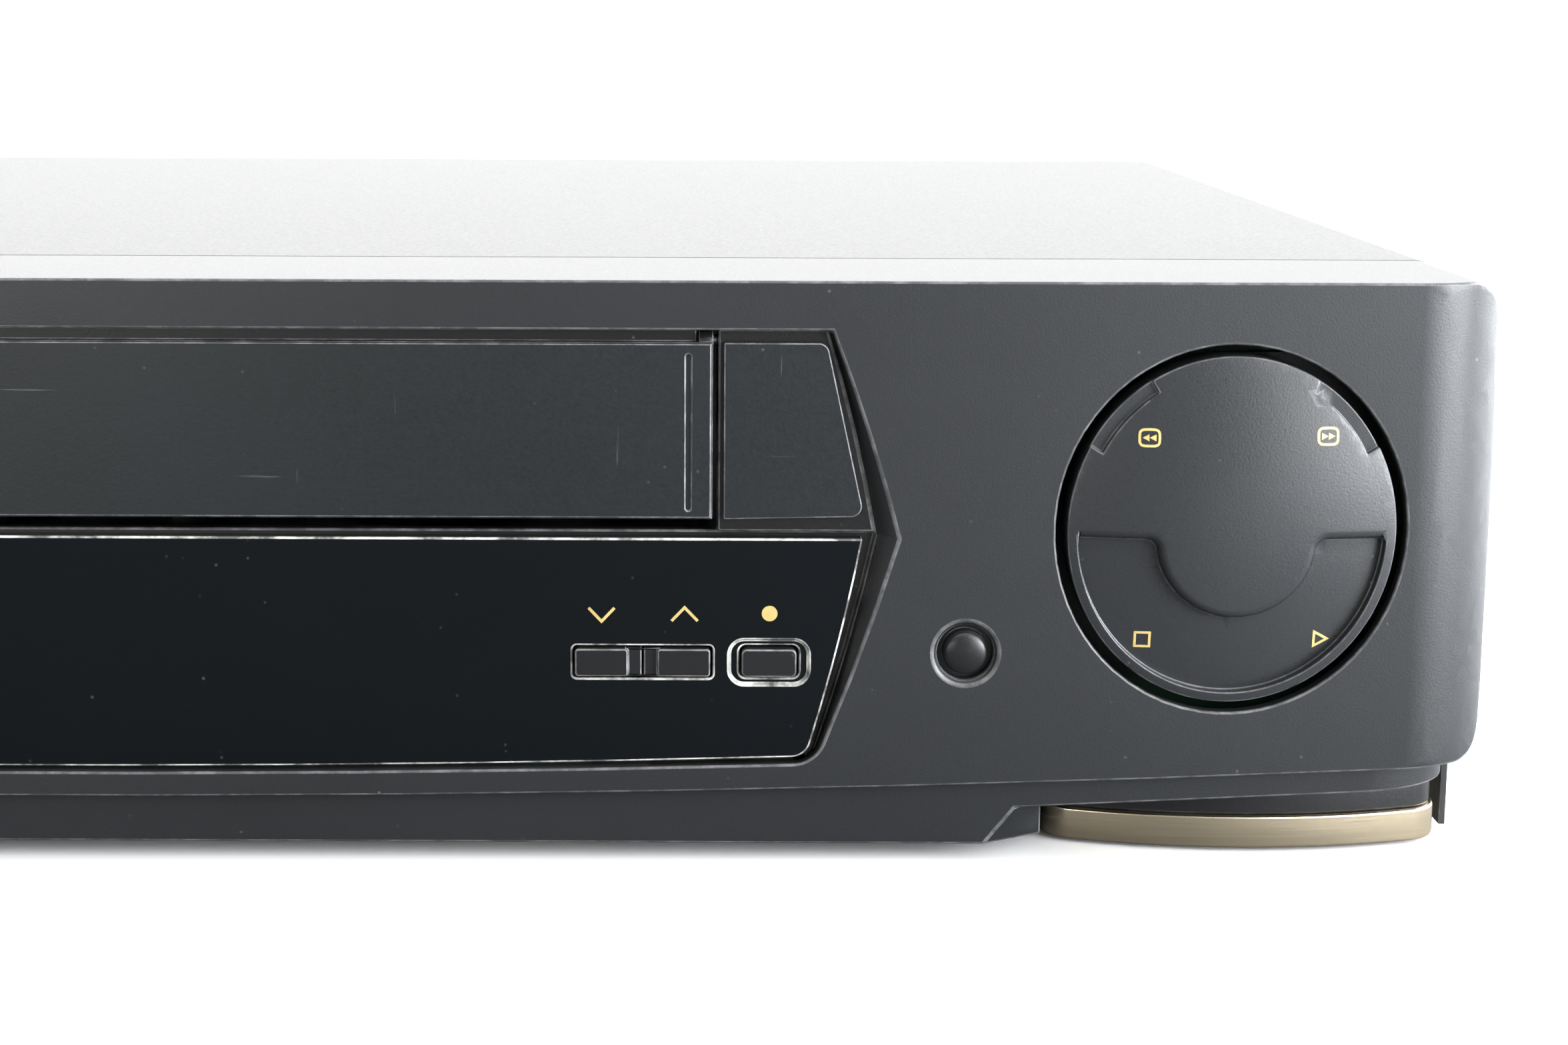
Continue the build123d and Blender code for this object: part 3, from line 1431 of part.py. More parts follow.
def scart_sockets():
    sockets = []
    front = rear_inner_depth - scart_body_length
    end = body_depth + scart_lip
    for x in scart_x:
        body = block(x - scart_width / 2, x + scart_width / 2, front, end,
                     scart_z - scart_height / 2, scart_z + scart_height / 2)
        points = [(-21.5, 5.0), (21.5, 5.0), (21.5, -0.5), (17.0, -5.0), (-21.5, -5.0)]
        cavity = Pos(x, scart_z) * make_face(Polyline(points, close=True))
        body -= from_front(cavity, end - 12, end + 1)
        key = block(x - 19, x + 17, end - 11, end - 1, scart_z - 1.2, scart_z + 1.6)
        back_web = block(x - 19, x + 17, end - 13, end - 10, scart_z - 1.2, scart_z + 1.6)
        sockets.append(body + key + back_web)
    return sockets


def phono_sockets():
    bodies = []
    end = body_depth + socket_proud
    half = phono_body / 2
    for x in phono_x:
        body = block(x - half, x + half, rear_inner_depth - phono_body, rear_inner_depth,
                     phono_z - half, phono_z + half)
        body += bar_back(x, phono_z, phono_radius + socket_collar, rear_inner_depth - 1, rear_outer_depth)
        body += bar_back(x, phono_z, phono_radius, rear_outer_depth - 1, end)
        bodies.append(body - bar_back(x, phono_z, phono_bore_radius, end - 9, end + 1))
    return bodies


def socket_board():
    """The small board that stands behind the picture and sound sockets."""
    low = phono_x[0] - phono_body
    high = scart_x[1] + scart_width / 2 + 6
    depth = rear_inner_depth - scart_body_length
    board = block(low, high, depth - board_thickness, depth, 30, 74)
    for x in phono_x:
        board += block(x - 4, x + 4, depth - 0.5, rear_inner_depth - phono_body, phono_z - 4, phono_z + 4)
    return board


def mains_inlet():
    half_width = inlet_width / 2
    half_height = inlet_height / 2
    flange = block(inlet_x - half_width - 3, inlet_x + half_width + 3, rear_inner_depth - 2,
                   rear_inner_depth, inlet_z - half_height - 3, inlet_z + half_height + 3)
    body = block(inlet_x - half_width, inlet_x + half_width, rear_inner_depth - inlet_body_length,
                 body_depth, inlet_z - half_height, inlet_z + half_height)
    lobes = Pos(-3.8, 0) * Circle(3.9) + Pos(3.8, 0) * Circle(3.9)
    cavity = from_front(Pos(inlet_x, inlet_z) * lobes, body_depth - 14, body_depth + 1)
    inlet = flange + body - cavity
    for offset in (-4.3, 4.3):
        inlet += bar_back(inlet_x + offset, inlet_z, 1.2, body_depth - 15, body_depth - 3)
    return inlet


nodes = {
    "front_panel": front_panel(),
    "display_window": display_window(),
    "side_plate_right": side_plate(False),
    "side_plate_left": side_plate(True),
    "cassette_flap": cassette_flap(),
    "channel_down_button": channel_key(False),
    "channel_up_button": channel_key(True),
    "record_button": record_key(),
    "timer_button": round_key(),
    "power_button": mirrored(round_key()),
    "eject_button": eject_key(),
    "transport_dial": transport_dial(),
    "dial_gimbal": dial_gimbal(),
    "dial_cradle": dial_cradle(),
    "front_board": front_board(),
    "display_module": display_module(),
    "ribbon_cable": ribbon_cable(),
    "front_bracket": front_bracket(),
    "bezel_screws": bezel_screws(),
    "top_cover": top_cover(),
    "cover_screws": cover_screws(),
    "base_tray": base_tray(),
    "rear_panel": rear_panel(),
    "foot_shells": foot_shells(),
    "foot_rings": foot_rings(),
    "foot_pads": foot_pads(),
    "rear_feet": rear_feet(),
    "deck_chassis": deck_chassis(),
    "supply_reel": reel(-1),
    "takeup_reel": reel(1),
    "idler_arm": idler_arm(),
    "idler_wheel": idler_wheel(),
    "pinch_arm": pinch_arm(),
    "pinch_roller": pinch_roller(),
    "tension_arm": tension_arm(),
    "tape_guide_right": tape_guide(),
    "tape_guide_left": mirrored(tape_guide()),
    "audio_control_head": fixed_head(1),
    "erase_head": fixed_head(-1),
    "lower_drum": lower_drum(),
    "upper_drum": upper_drum(),
    "capstan_rotor": capstan_rotor(),
    "capstan_stator": capstan_stator(),
    "cam_wheel": cam_wheel(),
    "loading_motor": loading_motor(),
    "loading_pulley": loading_pulley(),
    "loading_belt": loading_belt(),
    "cassette_holder": cassette_holder(),
    "carriage_sledge": carriage_sledge(),
    "carriage_side_right": carriage_side(),
    "carriage_side_left": mirrored(carriage_side()),
    "main_board": main_board(),
    "supply_board": supply_board(),
    "heat_sink": heat_sink(),
    "mains_transformer": mains_transformer(),
    "tuner_can": tuner_can(),
    "scart_sockets": scart_sockets(),
    "phono_sockets": phono_sockets(),
    "socket_board": socket_board(),
    "mains_inlet": mains_inlet(),
}

for name, shape in nodes.items():
    solids = shape if isinstance(shape, list) else [shape]
    placed = [Pos(0, front_y, 0) * solid for solid in solids]
    whole = placed[0] if len(placed) == 1 else Compound(children=placed)
    export_step(whole, "parts/" + name + ".step")
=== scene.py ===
import json
import math

import bmesh
import bpy
from mathutils import Matrix, Vector

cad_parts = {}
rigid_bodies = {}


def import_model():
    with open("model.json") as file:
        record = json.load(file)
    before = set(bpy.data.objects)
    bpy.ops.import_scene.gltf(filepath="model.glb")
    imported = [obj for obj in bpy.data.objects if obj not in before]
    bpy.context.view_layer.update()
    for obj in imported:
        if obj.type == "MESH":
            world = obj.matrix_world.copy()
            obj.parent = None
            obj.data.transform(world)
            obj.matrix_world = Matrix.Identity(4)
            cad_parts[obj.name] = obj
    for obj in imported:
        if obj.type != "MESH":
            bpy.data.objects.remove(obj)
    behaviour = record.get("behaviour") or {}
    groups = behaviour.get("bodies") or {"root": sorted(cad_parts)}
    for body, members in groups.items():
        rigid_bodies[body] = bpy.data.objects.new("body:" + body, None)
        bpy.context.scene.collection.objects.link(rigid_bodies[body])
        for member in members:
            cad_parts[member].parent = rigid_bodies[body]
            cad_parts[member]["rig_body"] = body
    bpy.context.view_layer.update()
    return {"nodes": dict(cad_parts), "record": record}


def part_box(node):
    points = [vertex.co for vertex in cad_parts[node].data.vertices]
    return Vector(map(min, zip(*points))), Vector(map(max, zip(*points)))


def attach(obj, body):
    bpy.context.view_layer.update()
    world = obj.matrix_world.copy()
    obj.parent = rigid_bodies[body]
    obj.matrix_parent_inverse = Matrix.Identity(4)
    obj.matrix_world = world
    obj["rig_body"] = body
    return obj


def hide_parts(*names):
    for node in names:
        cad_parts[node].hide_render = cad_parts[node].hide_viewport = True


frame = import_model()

MM = 0.001
FRONT_Y = -0.14755
scene = bpy.context.scene


def place(x, depth, z):
    """A point from millimetres: right, back from the flat front, and up."""
    return Vector((x * MM, FRONT_Y + depth * MM, z * MM))


# ---------------------------------------------------------------- shader helpers

def put(tree, kind, inputs=None, **settings):
    """A node with its settings; each input takes a value or another node's output."""
    node = tree.nodes.new(kind)
    for key, value in settings.items():
        setattr(node, key, value)
    for key, value in (inputs or {}).items():
        if isinstance(value, bpy.types.NodeSocket):
            tree.links.new(value, node.inputs[key])
        else:
            node.inputs[key].default_value = value
    return node


def group_tree(name, kind, inputs, outputs):
    """An empty node group with named inputs and outputs."""
    tree = bpy.data.node_groups.new(name, kind)
    for key, (socket_type, value) in inputs.items():
        socket = tree.interface.new_socket(name=key, in_out="INPUT", socket_type=socket_type)
        if value is not None:
            socket.default_value = value
    for key, socket_type in outputs.items():
        tree.interface.new_socket(name=key, in_out="OUTPUT", socket_type=socket_type)
    return tree, tree.nodes.new("NodeGroupInput").outputs, tree.nodes.new("NodeGroupOutput").inputs


def maths(tree, operation, first, second=0.0, clamp=False):
    return put(tree, "ShaderNodeMath", {0: first, 1: second}, operation=operation, use_clamp=clamp).outputs[0]


def spread(tree, value, low, high, out_low=0.0, out_high=1.0):
    """Value moved from one range to another, and held inside it."""
    limits = {"Value": value, "From Min": low, "From Max": high, "To Min": out_low, "To Max": out_high}
    return put(tree, "ShaderNodeMapRange", limits).outputs["Result"]


def object_place(tree, stretch=(1.0, 1.0, 1.0)):
    """Object coordinates, stretched along the axes."""
    coordinates = put(tree, "ShaderNodeTexCoord").outputs["Object"]
    return put(tree, "ShaderNodeMapping", {"Vector": coordinates, "Scale": stretch}).outputs["Vector"]


def noise(tree, vector, scale, detail=2.0, roughness=0.5):
    settings = {"Vector": vector, "Scale": scale, "Detail": detail, "Roughness": roughness}
    return put(tree, "ShaderNodeTexNoise", settings).outputs["Fac"]


FLOAT = "NodeSocketFloat"


def moulded_grain_group():
    """Fine moulded texture, and slow changes of tone over a part."""
    inputs = {"Scale": (FLOAT, 2000.0), "Tone Scale": (FLOAT, 20.0), "Tone": (FLOAT, 0.1)}
    tree, take, give = group_tree("moulded_grain", "ShaderNodeTree", inputs, {"Height": FLOAT, "Shade": FLOAT})
    where = object_place(tree)
    fine = noise(tree, where, take["Scale"], 2.0, 0.6)
    slow = noise(tree, where, take["Tone Scale"], 4.0, 0.6)
    speck = spread(tree, fine, 0.3, 0.7, -0.35, 0.35)
    wave = spread(tree, slow, 0.3, 0.7, -1.0, 1.0)
    both = maths(tree, "ADD", speck, wave)
    tree.links.new(fine, give["Height"])
    tree.links.new(maths(tree, "ADD", maths(tree, "MULTIPLY", both, take["Tone"]), 1.0), give["Shade"])
    return tree


def drawn_lines_group():
    """Long fine lines left by rolling, turning or brushing."""
    inputs = {"Stretch": ("NodeSocketVector", (1.0, 1.0, 1.0)), "Tone": (FLOAT, 0.2)}
    tree, take, give = group_tree("drawn_lines", "ShaderNodeTree", inputs, {"Height": FLOAT, "Shade": FLOAT})
    coordinates = put(tree, "ShaderNodeTexCoord").outputs["Object"]
    where = put(tree, "ShaderNodeMapping", {"Vector": coordinates}).inputs["Scale"].node
    tree.links.new(take["Stretch"], where.inputs["Scale"])
    fine = noise(tree, where.outputs["Vector"], 1.0, 4.0, 0.65)
    tree.links.new(fine, give["Height"])
    swing = spread(tree, fine, 0.3, 0.7, -1.0, 1.0)
    tree.links.new(maths(tree, "ADD", maths(tree, "MULTIPLY", swing, take["Tone"]), 1.0), give["Shade"])
    return tree


def settled_dust_group():
    """Single light specks, and a thin film on what faces up."""
    inputs = {"Specks": (FLOAT, 0.3), "Film": (FLOAT, 0.1), "Speck Scale": (FLOAT, 430.0)}
    tree, take, give = group_tree("settled_dust", "ShaderNodeTree", inputs, {"Mask": FLOAT})
    where = object_place(tree)
    cells = put(tree, "ShaderNodeTexVoronoi", {"Vector": where, "Scale": take["Speck Scale"]})
    near = spread(tree, cells.outputs["Distance"], 0.03, 0.13, 1.0, 0.0)
    chance = put(tree, "ShaderNodeSeparateColor", {"Color": cells.outputs["Color"]}).outputs[0]
    chosen = spread(tree, chance, 0.86, 0.98)
    patches = spread(tree, noise(tree, where, 35.0, 3.0), 0.42, 0.66, 0.25, 1.0)
    specks = maths(tree, "MULTIPLY", maths(tree, "MULTIPLY", near, chosen), patches)
    specks = maths(tree, "MULTIPLY", specks, take["Specks"])
    up = put(tree, "ShaderNodeSeparateXYZ", {0: put(tree, "ShaderNodeNewGeometry").outputs["Normal"]}).outputs[2]
    cover = spread(tree, up, 0.3, 0.95)
    cloud = spread(tree, noise(tree, where, 60.0, 5.0, 0.7), 0.35, 0.75)
    film = maths(tree, "MULTIPLY", maths(tree, "MULTIPLY", cover, cloud), take["Film"])
    tree.links.new(maths(tree, "ADD", specks, film, clamp=True), give["Mask"])
    return tree


def rubbed_edge_and_highlight_group():
    """Rubbed corners and painted edge highlights: the rounded edges of a piece made lighter, broken up."""
    inputs = {"Amount": (FLOAT, 0.5), "Kept": (FLOAT, 0.35), "Patch Scale": (FLOAT, 240.0)}
    tree, take, give = group_tree("rubbed_edges_and_painted_highlights", "ShaderNodeTree", inputs, {"Mask": FLOAT})
    edge = put(tree, "ShaderNodeAttribute", attribute_name="rounded_edge").outputs["Fac"]
    cloud = noise(tree, object_place(tree), take["Patch Scale"], 4.0, 0.7)
    broken = spread(tree, cloud, 0.42, 0.62, take["Kept"], 1.0)
    mask = maths(tree, "MULTIPLY", maths(tree, "MULTIPLY", edge, broken), take["Amount"])
    tree.links.new(mask, give["Mask"])
    return tree


def painted_shade_in_recess_group():
    """Painted shade mask: 1 on what lies back inside the front's recess, 0 on the faces in front of it."""
    inputs = {"Near": (FLOAT, FRONT_Y), "Far": (FLOAT, FRONT_Y), "Half Width": (FLOAT, 0.165),
              "Low": (FLOAT, 0.015), "High": (FLOAT, 0.081)}
    tree, take, give = group_tree("painted_shade_in_recess", "ShaderNodeTree", inputs, {"Mask": FLOAT})
    where = put(tree, "ShaderNodeSeparateXYZ", {0: put(tree, "ShaderNodeTexCoord").outputs["Object"]}).outputs
    mask = spread(tree, where[1], take["Near"], take["Far"])
    for share in (maths(tree, "LESS_THAN", maths(tree, "ABSOLUTE", where[0]), take["Half Width"]),
                  maths(tree, "GREATER_THAN", where[2], take["Low"]),
                  maths(tree, "LESS_THAN", where[2], take["High"])):
        mask = maths(tree, "MULTIPLY", mask, share)
    tree.links.new(mask, give["Mask"])
    return tree


def scuff_group():
    """A few long fine scratches, at two slants."""
    tree, take, give = group_tree("scuffs", "ShaderNodeTree", {"Amount": (FLOAT, 0.3)}, {"Mask": FLOAT})
    total = None
    for turn, stretch in ((0.35, (28.0, 28.0, 900.0)), (1.2, (900.0, 28.0, 40.0))):
        coordinates = put(tree, "ShaderNodeTexCoord").outputs["Object"]
        turned = put(tree, "ShaderNodeMapping",
                     {"Vector": coordinates, "Rotation": (0.0, turn, 0.0), "Scale": stretch}).outputs["Vector"]
        line = spread(tree, noise(tree, turned, 1.0, 3.0, 0.6), 0.7, 0.76)
        total = line if total is None else maths(tree, "MAXIMUM", total, line)
    spots = spread(tree, noise(tree, object_place(tree), 30.0, 3.0), 0.5, 0.62)
    mask = maths(tree, "MULTIPLY", maths(tree, "MULTIPLY", total, spots), take["Amount"])
    tree.links.new(mask, give["Mask"])
    return tree


grain_tree = moulded_grain_group()
lines_tree = drawn_lines_group()
dust_tree = settled_dust_group()
rubbed_edge_and_highlight_tree = rubbed_edge_and_highlight_group()
scuff_tree = scuff_group()
painted_shade_in_recess_tree = painted_shade_in_recess_group()


def grouped(tree, group, values):
    node = tree.nodes.new("ShaderNodeGroup")
    node.node_tree = group
    for key, value in values.items():
        node.inputs[key].default_value = value
    return node.outputs


def mixed(tree, share, first, second):
    """The second colour over the first, by a share."""
    node = put(tree, "ShaderNodeMix", data_type="RGBA")
    for socket, value in ((node.inputs[0], share), (node.inputs[6], first), (node.inputs[7], second)):
        if isinstance(value, bpy.types.NodeSocket):
            tree.links.new(value, socket)
        else:
            socket.default_value = value
    return node.outputs[2]


DUST_COLOUR = (0.42, 0.41, 0.39, 1.0)


def finish(name, colour, roughness, metallic=0.0, coat=0.0, tone=0.12, tone_scale=22.0, grain=2200.0,
           bump=0.02, lines=None, rubbed_edge_and_highlight=0.0, rubbed_edge_and_highlight_colour=None, kept=0.35, patch=240.0, specks=0.3,
           film=0.08, scuffs=0.0, specular=0.5, recess=None):
    """A material from the shared effects, each with its own strength."""
    material = bpy.data.materials.new(name)
    material.use_nodes = True
    tree = material.node_tree
    shader = tree.nodes["Principled BSDF"]
    if lines:
        surface = grouped(tree, lines_tree, {"Stretch": lines, "Tone": tone})
    else:
        surface = grouped(tree, grain_tree, {"Scale": grain, "Tone Scale": tone_scale, "Tone": tone})
    base = put(tree, "ShaderNodeVectorMath", {0: colour, "Scale": surface["Shade"]}, operation="SCALE").outputs[0]
    # Painted shade: faces set back inside the front's recess are darkened towards a near-black grey (recess = near
    # depth, far depth, grey).
    if recess:
        near, far, shade = recess
        inside = grouped(tree, painted_shade_in_recess_tree, {"Near": FRONT_Y + near * MM, "Far": FRONT_Y + far * MM})["Mask"]
        base = mixed(tree, inside, base, (shade, shade, shade, 1.0))
    # Rubbed edges: real rubbing, and painted highlight along the rounded edges, in a lighter colour.
    if rubbed_edge_and_highlight:
        rubbed_edge_and_highlight_mask = grouped(tree, rubbed_edge_and_highlight_tree, {"Amount": rubbed_edge_and_highlight, "Kept": kept, "Patch Scale": patch})["Mask"]
        base = mixed(tree, rubbed_edge_and_highlight_mask, base, (*(rubbed_edge_and_highlight_colour or [min(1.0, c * 3 + 0.05) for c in colour]), 1.0))
    if scuffs:
        scratch = grouped(tree, scuff_tree, {"Amount": scuffs})["Mask"]
        base = mixed(tree, scratch, base, (0.35, 0.36, 0.37, 1.0))
    dust = grouped(tree, dust_tree, {"Specks": specks, "Film": film})["Mask"]
    tree.links.new(mixed(tree, dust, base, DUST_COLOUR), shader.inputs["Base Color"])
    rough = spread(tree, surface["Height"], 0.25, 0.75, roughness * 0.88, roughness * 1.12)
    rough = maths(tree, "ADD", rough, maths(tree, "MULTIPLY", dust, 0.35), clamp=True)
    tree.links.new(rough, shader.inputs["Roughness"])
    shader.inputs["Metallic"].default_value = metallic
    shader.inputs["Specular IOR Level"].default_value = specular
    if coat:
        shader.inputs["Coat Weight"].default_value = coat
        shader.inputs["Coat Roughness"].default_value = 0.06
    bumped = put(tree, "ShaderNodeBump", {"Height": surface["Height"], "Distance": bump * MM, "Strength": 1.0})
    tree.links.new(bumped.outputs["Normal"], shader.inputs["Normal"])
    return material


FINISHES = {
    # recess=(near, far, grey) paints shade on the faces set back inside the front's recess.
    "charcoal_plastic": finish("charcoal_plastic", (0.0150, 0.0163, 0.0180), 0.36, bump=0.022, grain=3600.0, tone=0.12,
                               rubbed_edge_and_highlight=0.55, rubbed_edge_and_highlight_colour=(0.22, 0.22, 0.225), specks=0.3, film=0.03,
                               recess=(0.3, 1.4, 0.003)),
    "flap_plastic": finish("flap_plastic", (0.0070, 0.0092, 0.0104), 0.38, bump=0.02, tone=0.16, rubbed_edge_and_highlight=0.75,
                           rubbed_edge_and_highlight_colour=(0.26, 0.26, 0.27), specks=0.28, film=0.04, scuffs=0.35, recess=(1.15, 1.9, 0.003)),
    # The smoked window's near-white rounded edges, kept in short bright dashes, are painted highlight.
    "smoked_window": finish("smoked_window", (0.0018, 0.0030, 0.0040), 0.11, specular=0.33, bump=0.002,
                            tone=0.1, grain=900.0, rubbed_edge_and_highlight=1.0, rubbed_edge_and_highlight_colour=(0.75, 0.74, 0.7), kept=0.14,
                            patch=150.0, specks=0.2, film=0.03, scuffs=0.15),
    "key_plastic": finish("key_plastic", (0.0070, 0.0078, 0.0086), 0.32, bump=0.012, rubbed_edge_and_highlight=0.85,
                          rubbed_edge_and_highlight_colour=(0.26, 0.26, 0.27), specks=0.3),
    "dial_plastic": finish("dial_plastic", (0.0200, 0.0216, 0.0234), 0.29, bump=0.02, grain=3200.0, tone=0.1, rubbed_edge_and_highlight=0.5,
                           rubbed_edge_and_highlight_colour=(0.2, 0.2, 0.21), specks=0.34, film=0.02),
    "gold_shell": finish("gold_shell", (0.78, 0.66, 0.47), 0.23, metallic=1.0, tone=0.07,
                         lines=(60.0, 60.0, 5200.0), bump=0.006, rubbed_edge_and_highlight=0.3, rubbed_edge_and_highlight_colour=(0.85, 0.78, 0.62),
                         specks=0.12, film=0.03),
    "gold_print": finish("gold_print", (0.62, 0.46, 0.17), 0.42, metallic=0.25, tone=0.16, tone_scale=400.0,
                         grain=5000.0, bump=0.004, specks=0.0, film=0.0),
    "black_plastic": finish("black_plastic", (0.006, 0.006, 0.007), 0.36, bump=0.02, rubbed_edge_and_highlight=0.4, specks=0.35),
    "rubber": finish("rubber", (0.014, 0.014, 0.014), 0.7, bump=0.04, grain=900.0, specks=0.4, film=0.2),
    "cover_paint": finish("cover_paint", (0.0240, 0.0250, 0.0262), 0.39, bump=0.02, grain=1500.0, tone=0.06,
                          tone_scale=9.0, rubbed_edge_and_highlight=0.25, rubbed_edge_and_highlight_colour=(0.3, 0.3, 0.3), specks=0.2, film=0.03),
    "sheet_steel": finish("sheet_steel", (0.36, 0.36, 0.35), 0.34, metallic=1.0, tone=0.07,
                          lines=(25.0, 900.0, 900.0), bump=0.006, rubbed_edge_and_highlight=0.3, rubbed_edge_and_highlight_colour=(0.75, 0.75, 0.73),
                          specks=0.3, film=0.22),
    "screw_steel": finish("screw_steel", (0.10, 0.10, 0.105), 0.35, metallic=1.0, grain=3000.0, bump=0.01,
                          rubbed_edge_and_highlight=0.5, rubbed_edge_and_highlight_colour=(0.45, 0.45, 0.45)),
    "cast_deck": finish("cast_deck", (0.46, 0.46, 0.45), 0.48, metallic=1.0, grain=700.0, bump=0.06,
                        tone=0.1, film=0.25),
    "turned_aluminium": finish("turned_aluminium", (0.72, 0.72, 0.72), 0.22, metallic=1.0, tone=0.05,
                               lines=(80.0, 80.0, 3500.0), bump=0.004, film=0.05),
    "roller_rubber": finish("roller_rubber", (0.02, 0.02, 0.021), 0.6, bump=0.03, grain=1500.0),
    "white_plastic": finish("white_plastic", (0.62, 0.61, 0.57), 0.4, bump=0.015, tone=0.05, film=0.15),
    "board_green": finish("board_green", (0.009, 0.034, 0.016), 0.36, bump=0.02, grain=1200.0, tone=0.2,
                          tone_scale=120.0, coat=0.3, film=0.2),
    "display_glass": finish("display_glass", (0.01, 0.016, 0.017), 0.12, coat=0.8, bump=0.002, tone=0.1),
    "ribbon": finish("ribbon", (0.55, 0.55, 0.52), 0.4, tone=0.12, lines=(1100.0, 10.0, 1100.0), bump=0.02),
    "laminated_core": finish("laminated_core", (0.05, 0.05, 0.055), 0.45, metallic=0.6, tone=0.3,
                             lines=(20.0, 1400.0, 20.0), bump=0.05),
    "contact_metal": finish("contact_metal", (0.75, 0.68, 0.5), 0.28, metallic=1.0, tone=0.08,
                            lines=(900.0, 20.0, 900.0), bump=0.003, specks=0.1),
}

slot_of = {part["node"]: part["material_slot"] for part in frame["record"]["subparts"]}
body_of = {node: obj["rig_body"] for node, obj in frame["nodes"].items()}
for node, cad in frame["nodes"].items():
    cad.data.materials.clear()
    cad.data.materials.append(FINISHES[slot_of[node]])


# ---------------------------------------------------------------- pieces dressed from the solids

def show(name, mesh):
    piece = bpy.data.objects.new(name, mesh)
    scene.collection.objects.link(piece)
    return piece


def plain_mesh(piece):
    """The piece's own modifiers made into its mesh."""
    depsgraph = bpy.context.evaluated_depsgraph_get()
    made = bpy.data.meshes.new_from_object(piece.evaluated_get(depsgraph), preserve_all_data_layers=True,
                                           depsgraph=depsgraph)
    piece.modifiers.clear()
    piece.data = made
    return made


def settle(piece, node):
    """The piece stands for a CAD node: it rides on the node's body, and the node is hidden."""
    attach(piece, body_of[node])
    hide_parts(node)
    return piece


def merged_copy(node, flatten, merge):
    """A node's mesh with its doubles merged and its flat faces joined."""
    work = bmesh.new()
    work.from_mesh(frame["nodes"][node].data)
    bmesh.ops.remove_doubles(work, verts=work.verts, dist=merge)
    bmesh.ops.dissolve_degenerate(work, edges=work.edges, dist=merge)
    bmesh.ops.dissolve_limit(work, angle_limit=math.radians(flatten), verts=work.verts, edges=work.edges)
    mesh = bpy.data.meshes.new(node + "_look")
    work.to_mesh(mesh)
    work.free()
    return mesh


def weigh_edges(mesh, chosen, angle):
    """Full bevel weight on the sharp edges whose two ends are both chosen."""
    work = bmesh.new()
    work.from_mesh(mesh)
    weight = work.edges.layers.float.new("bevel_weight_edge")
    for edge in work.edges:
        sharp = len(edge.link_faces) == 2 and edge.calc_face_angle() > math.radians(angle)
        edge[weight] = 1.0 if sharp and all(chosen(end.co) for end in edge.verts) else 0.0
    work.to_mesh(mesh)
    work.free()


def rounded_copy(node, width, segments=2, angle=28.0, flatten=0.3, merge=2e-6, chosen=None):
    """The node with its sharp edges rounded; the new faces are marked as rounded edges."""
    piece = show(node + "_look", merged_copy(node, flatten, merge))
    finish_slot = FINISHES[slot_of[node]]
    piece.data.materials.append(finish_slot)
    piece.data.materials.append(FINISHES["contact_metal"])
    for polygon in piece.data.polygons:
        polygon.use_smooth = True
    bevel = piece.modifiers.new("rounded_edges", "BEVEL")
    bevel.width = width * MM
    bevel.segments = segments
    bevel.limit_method = "ANGLE"
    bevel.angle_limit = math.radians(angle)
    bevel.use_clamp_overlap = False
    bevel.material = 1
    if chosen:
        weigh_edges(piece.data, chosen, angle)
        bevel.limit_method = "WEIGHT"
    even = piece.modifiers.new("even_shading", "WEIGHTED_NORMAL")
    even.mode = "FACE_AREA"
    even.weight = 90
    mesh = plain_mesh(piece)
    edges = [1.0 if polygon.material_index == 1 else 0.0 for polygon in mesh.polygons]
    mark = mesh.attributes.new("rounded_edge", "FLOAT", "FACE")
    mark.data.foreach_set("value", edges)
    mesh.polygons.foreach_set("material_index", [0] * len(mesh.polygons))
    mesh.materials.clear()
    mesh.materials.append(finish_slot)
    return piece


EDGE_WIDTHS = {
    "front_panel": 0.35, "display_window": 0.3, "side_plate_right": 0.2, "side_plate_left": 0.2,
    "cassette_flap": 0.12, "channel_down_button": 0.22, "channel_up_button": 0.22, "record_button": 0.22,
    "timer_button": 0.1, "power_button": 0.1, "eject_button": 0.22, "top_cover": 0.12, "rear_panel": 0.15,
    "foot_shells": 0.45, "foot_rings": 0.4, "rear_feet": 0.5, "scart_sockets": 0.3, "phono_sockets": 0.3,
    "mains_inlet": 0.25, "tuner_can": 0.25, "base_tray": 0.15,
}
for node, width in EDGE_WIDTHS.items():
    settle(rounded_copy(node, width), node)


# ---------------------------------------------------------------- transport dial

DIAL_X, DIAL_Z = 174.5, 50.6
DOME_RADIUS, DIAL_PROUD, CRESCENT_DROP = 115.0, 2.9, 1.8
SHORT_CORNERS, CORNER_CLEAR = ((186.5, 69.4), (173.7, 37.3)), 1.2


def dome_depth(x, z, drop=0.0):
    """Depth of the dial's dome at a point seen from the front."""
    across = (x - DIAL_X) ** 2 + (z - DIAL_Z) ** 2
    return DOME_RADIUS - DIAL_PROUD + drop - math.sqrt(DOME_RADIUS ** 2 - across)


def transport_dial_look():
    """The dial with a rounded rim; its domes shade as one smooth face each."""
    def clear(point):
        """Away from the two short corners that can't be rounded."""
        here = Vector((point.x / MM, point.z / MM))
        return all((here - Vector(corner)).length > CORNER_CLEAR for corner in SHORT_CORNERS)

    piece = rounded_copy("transport_dial", 0.22, segments=2, angle=50.0, flatten=0.02, merge=6e-5, chosen=clear)
    return settle(piece, "transport_dial")


transport_dial_look()


# ---------------------------------------------------------------- crowns of the round keys

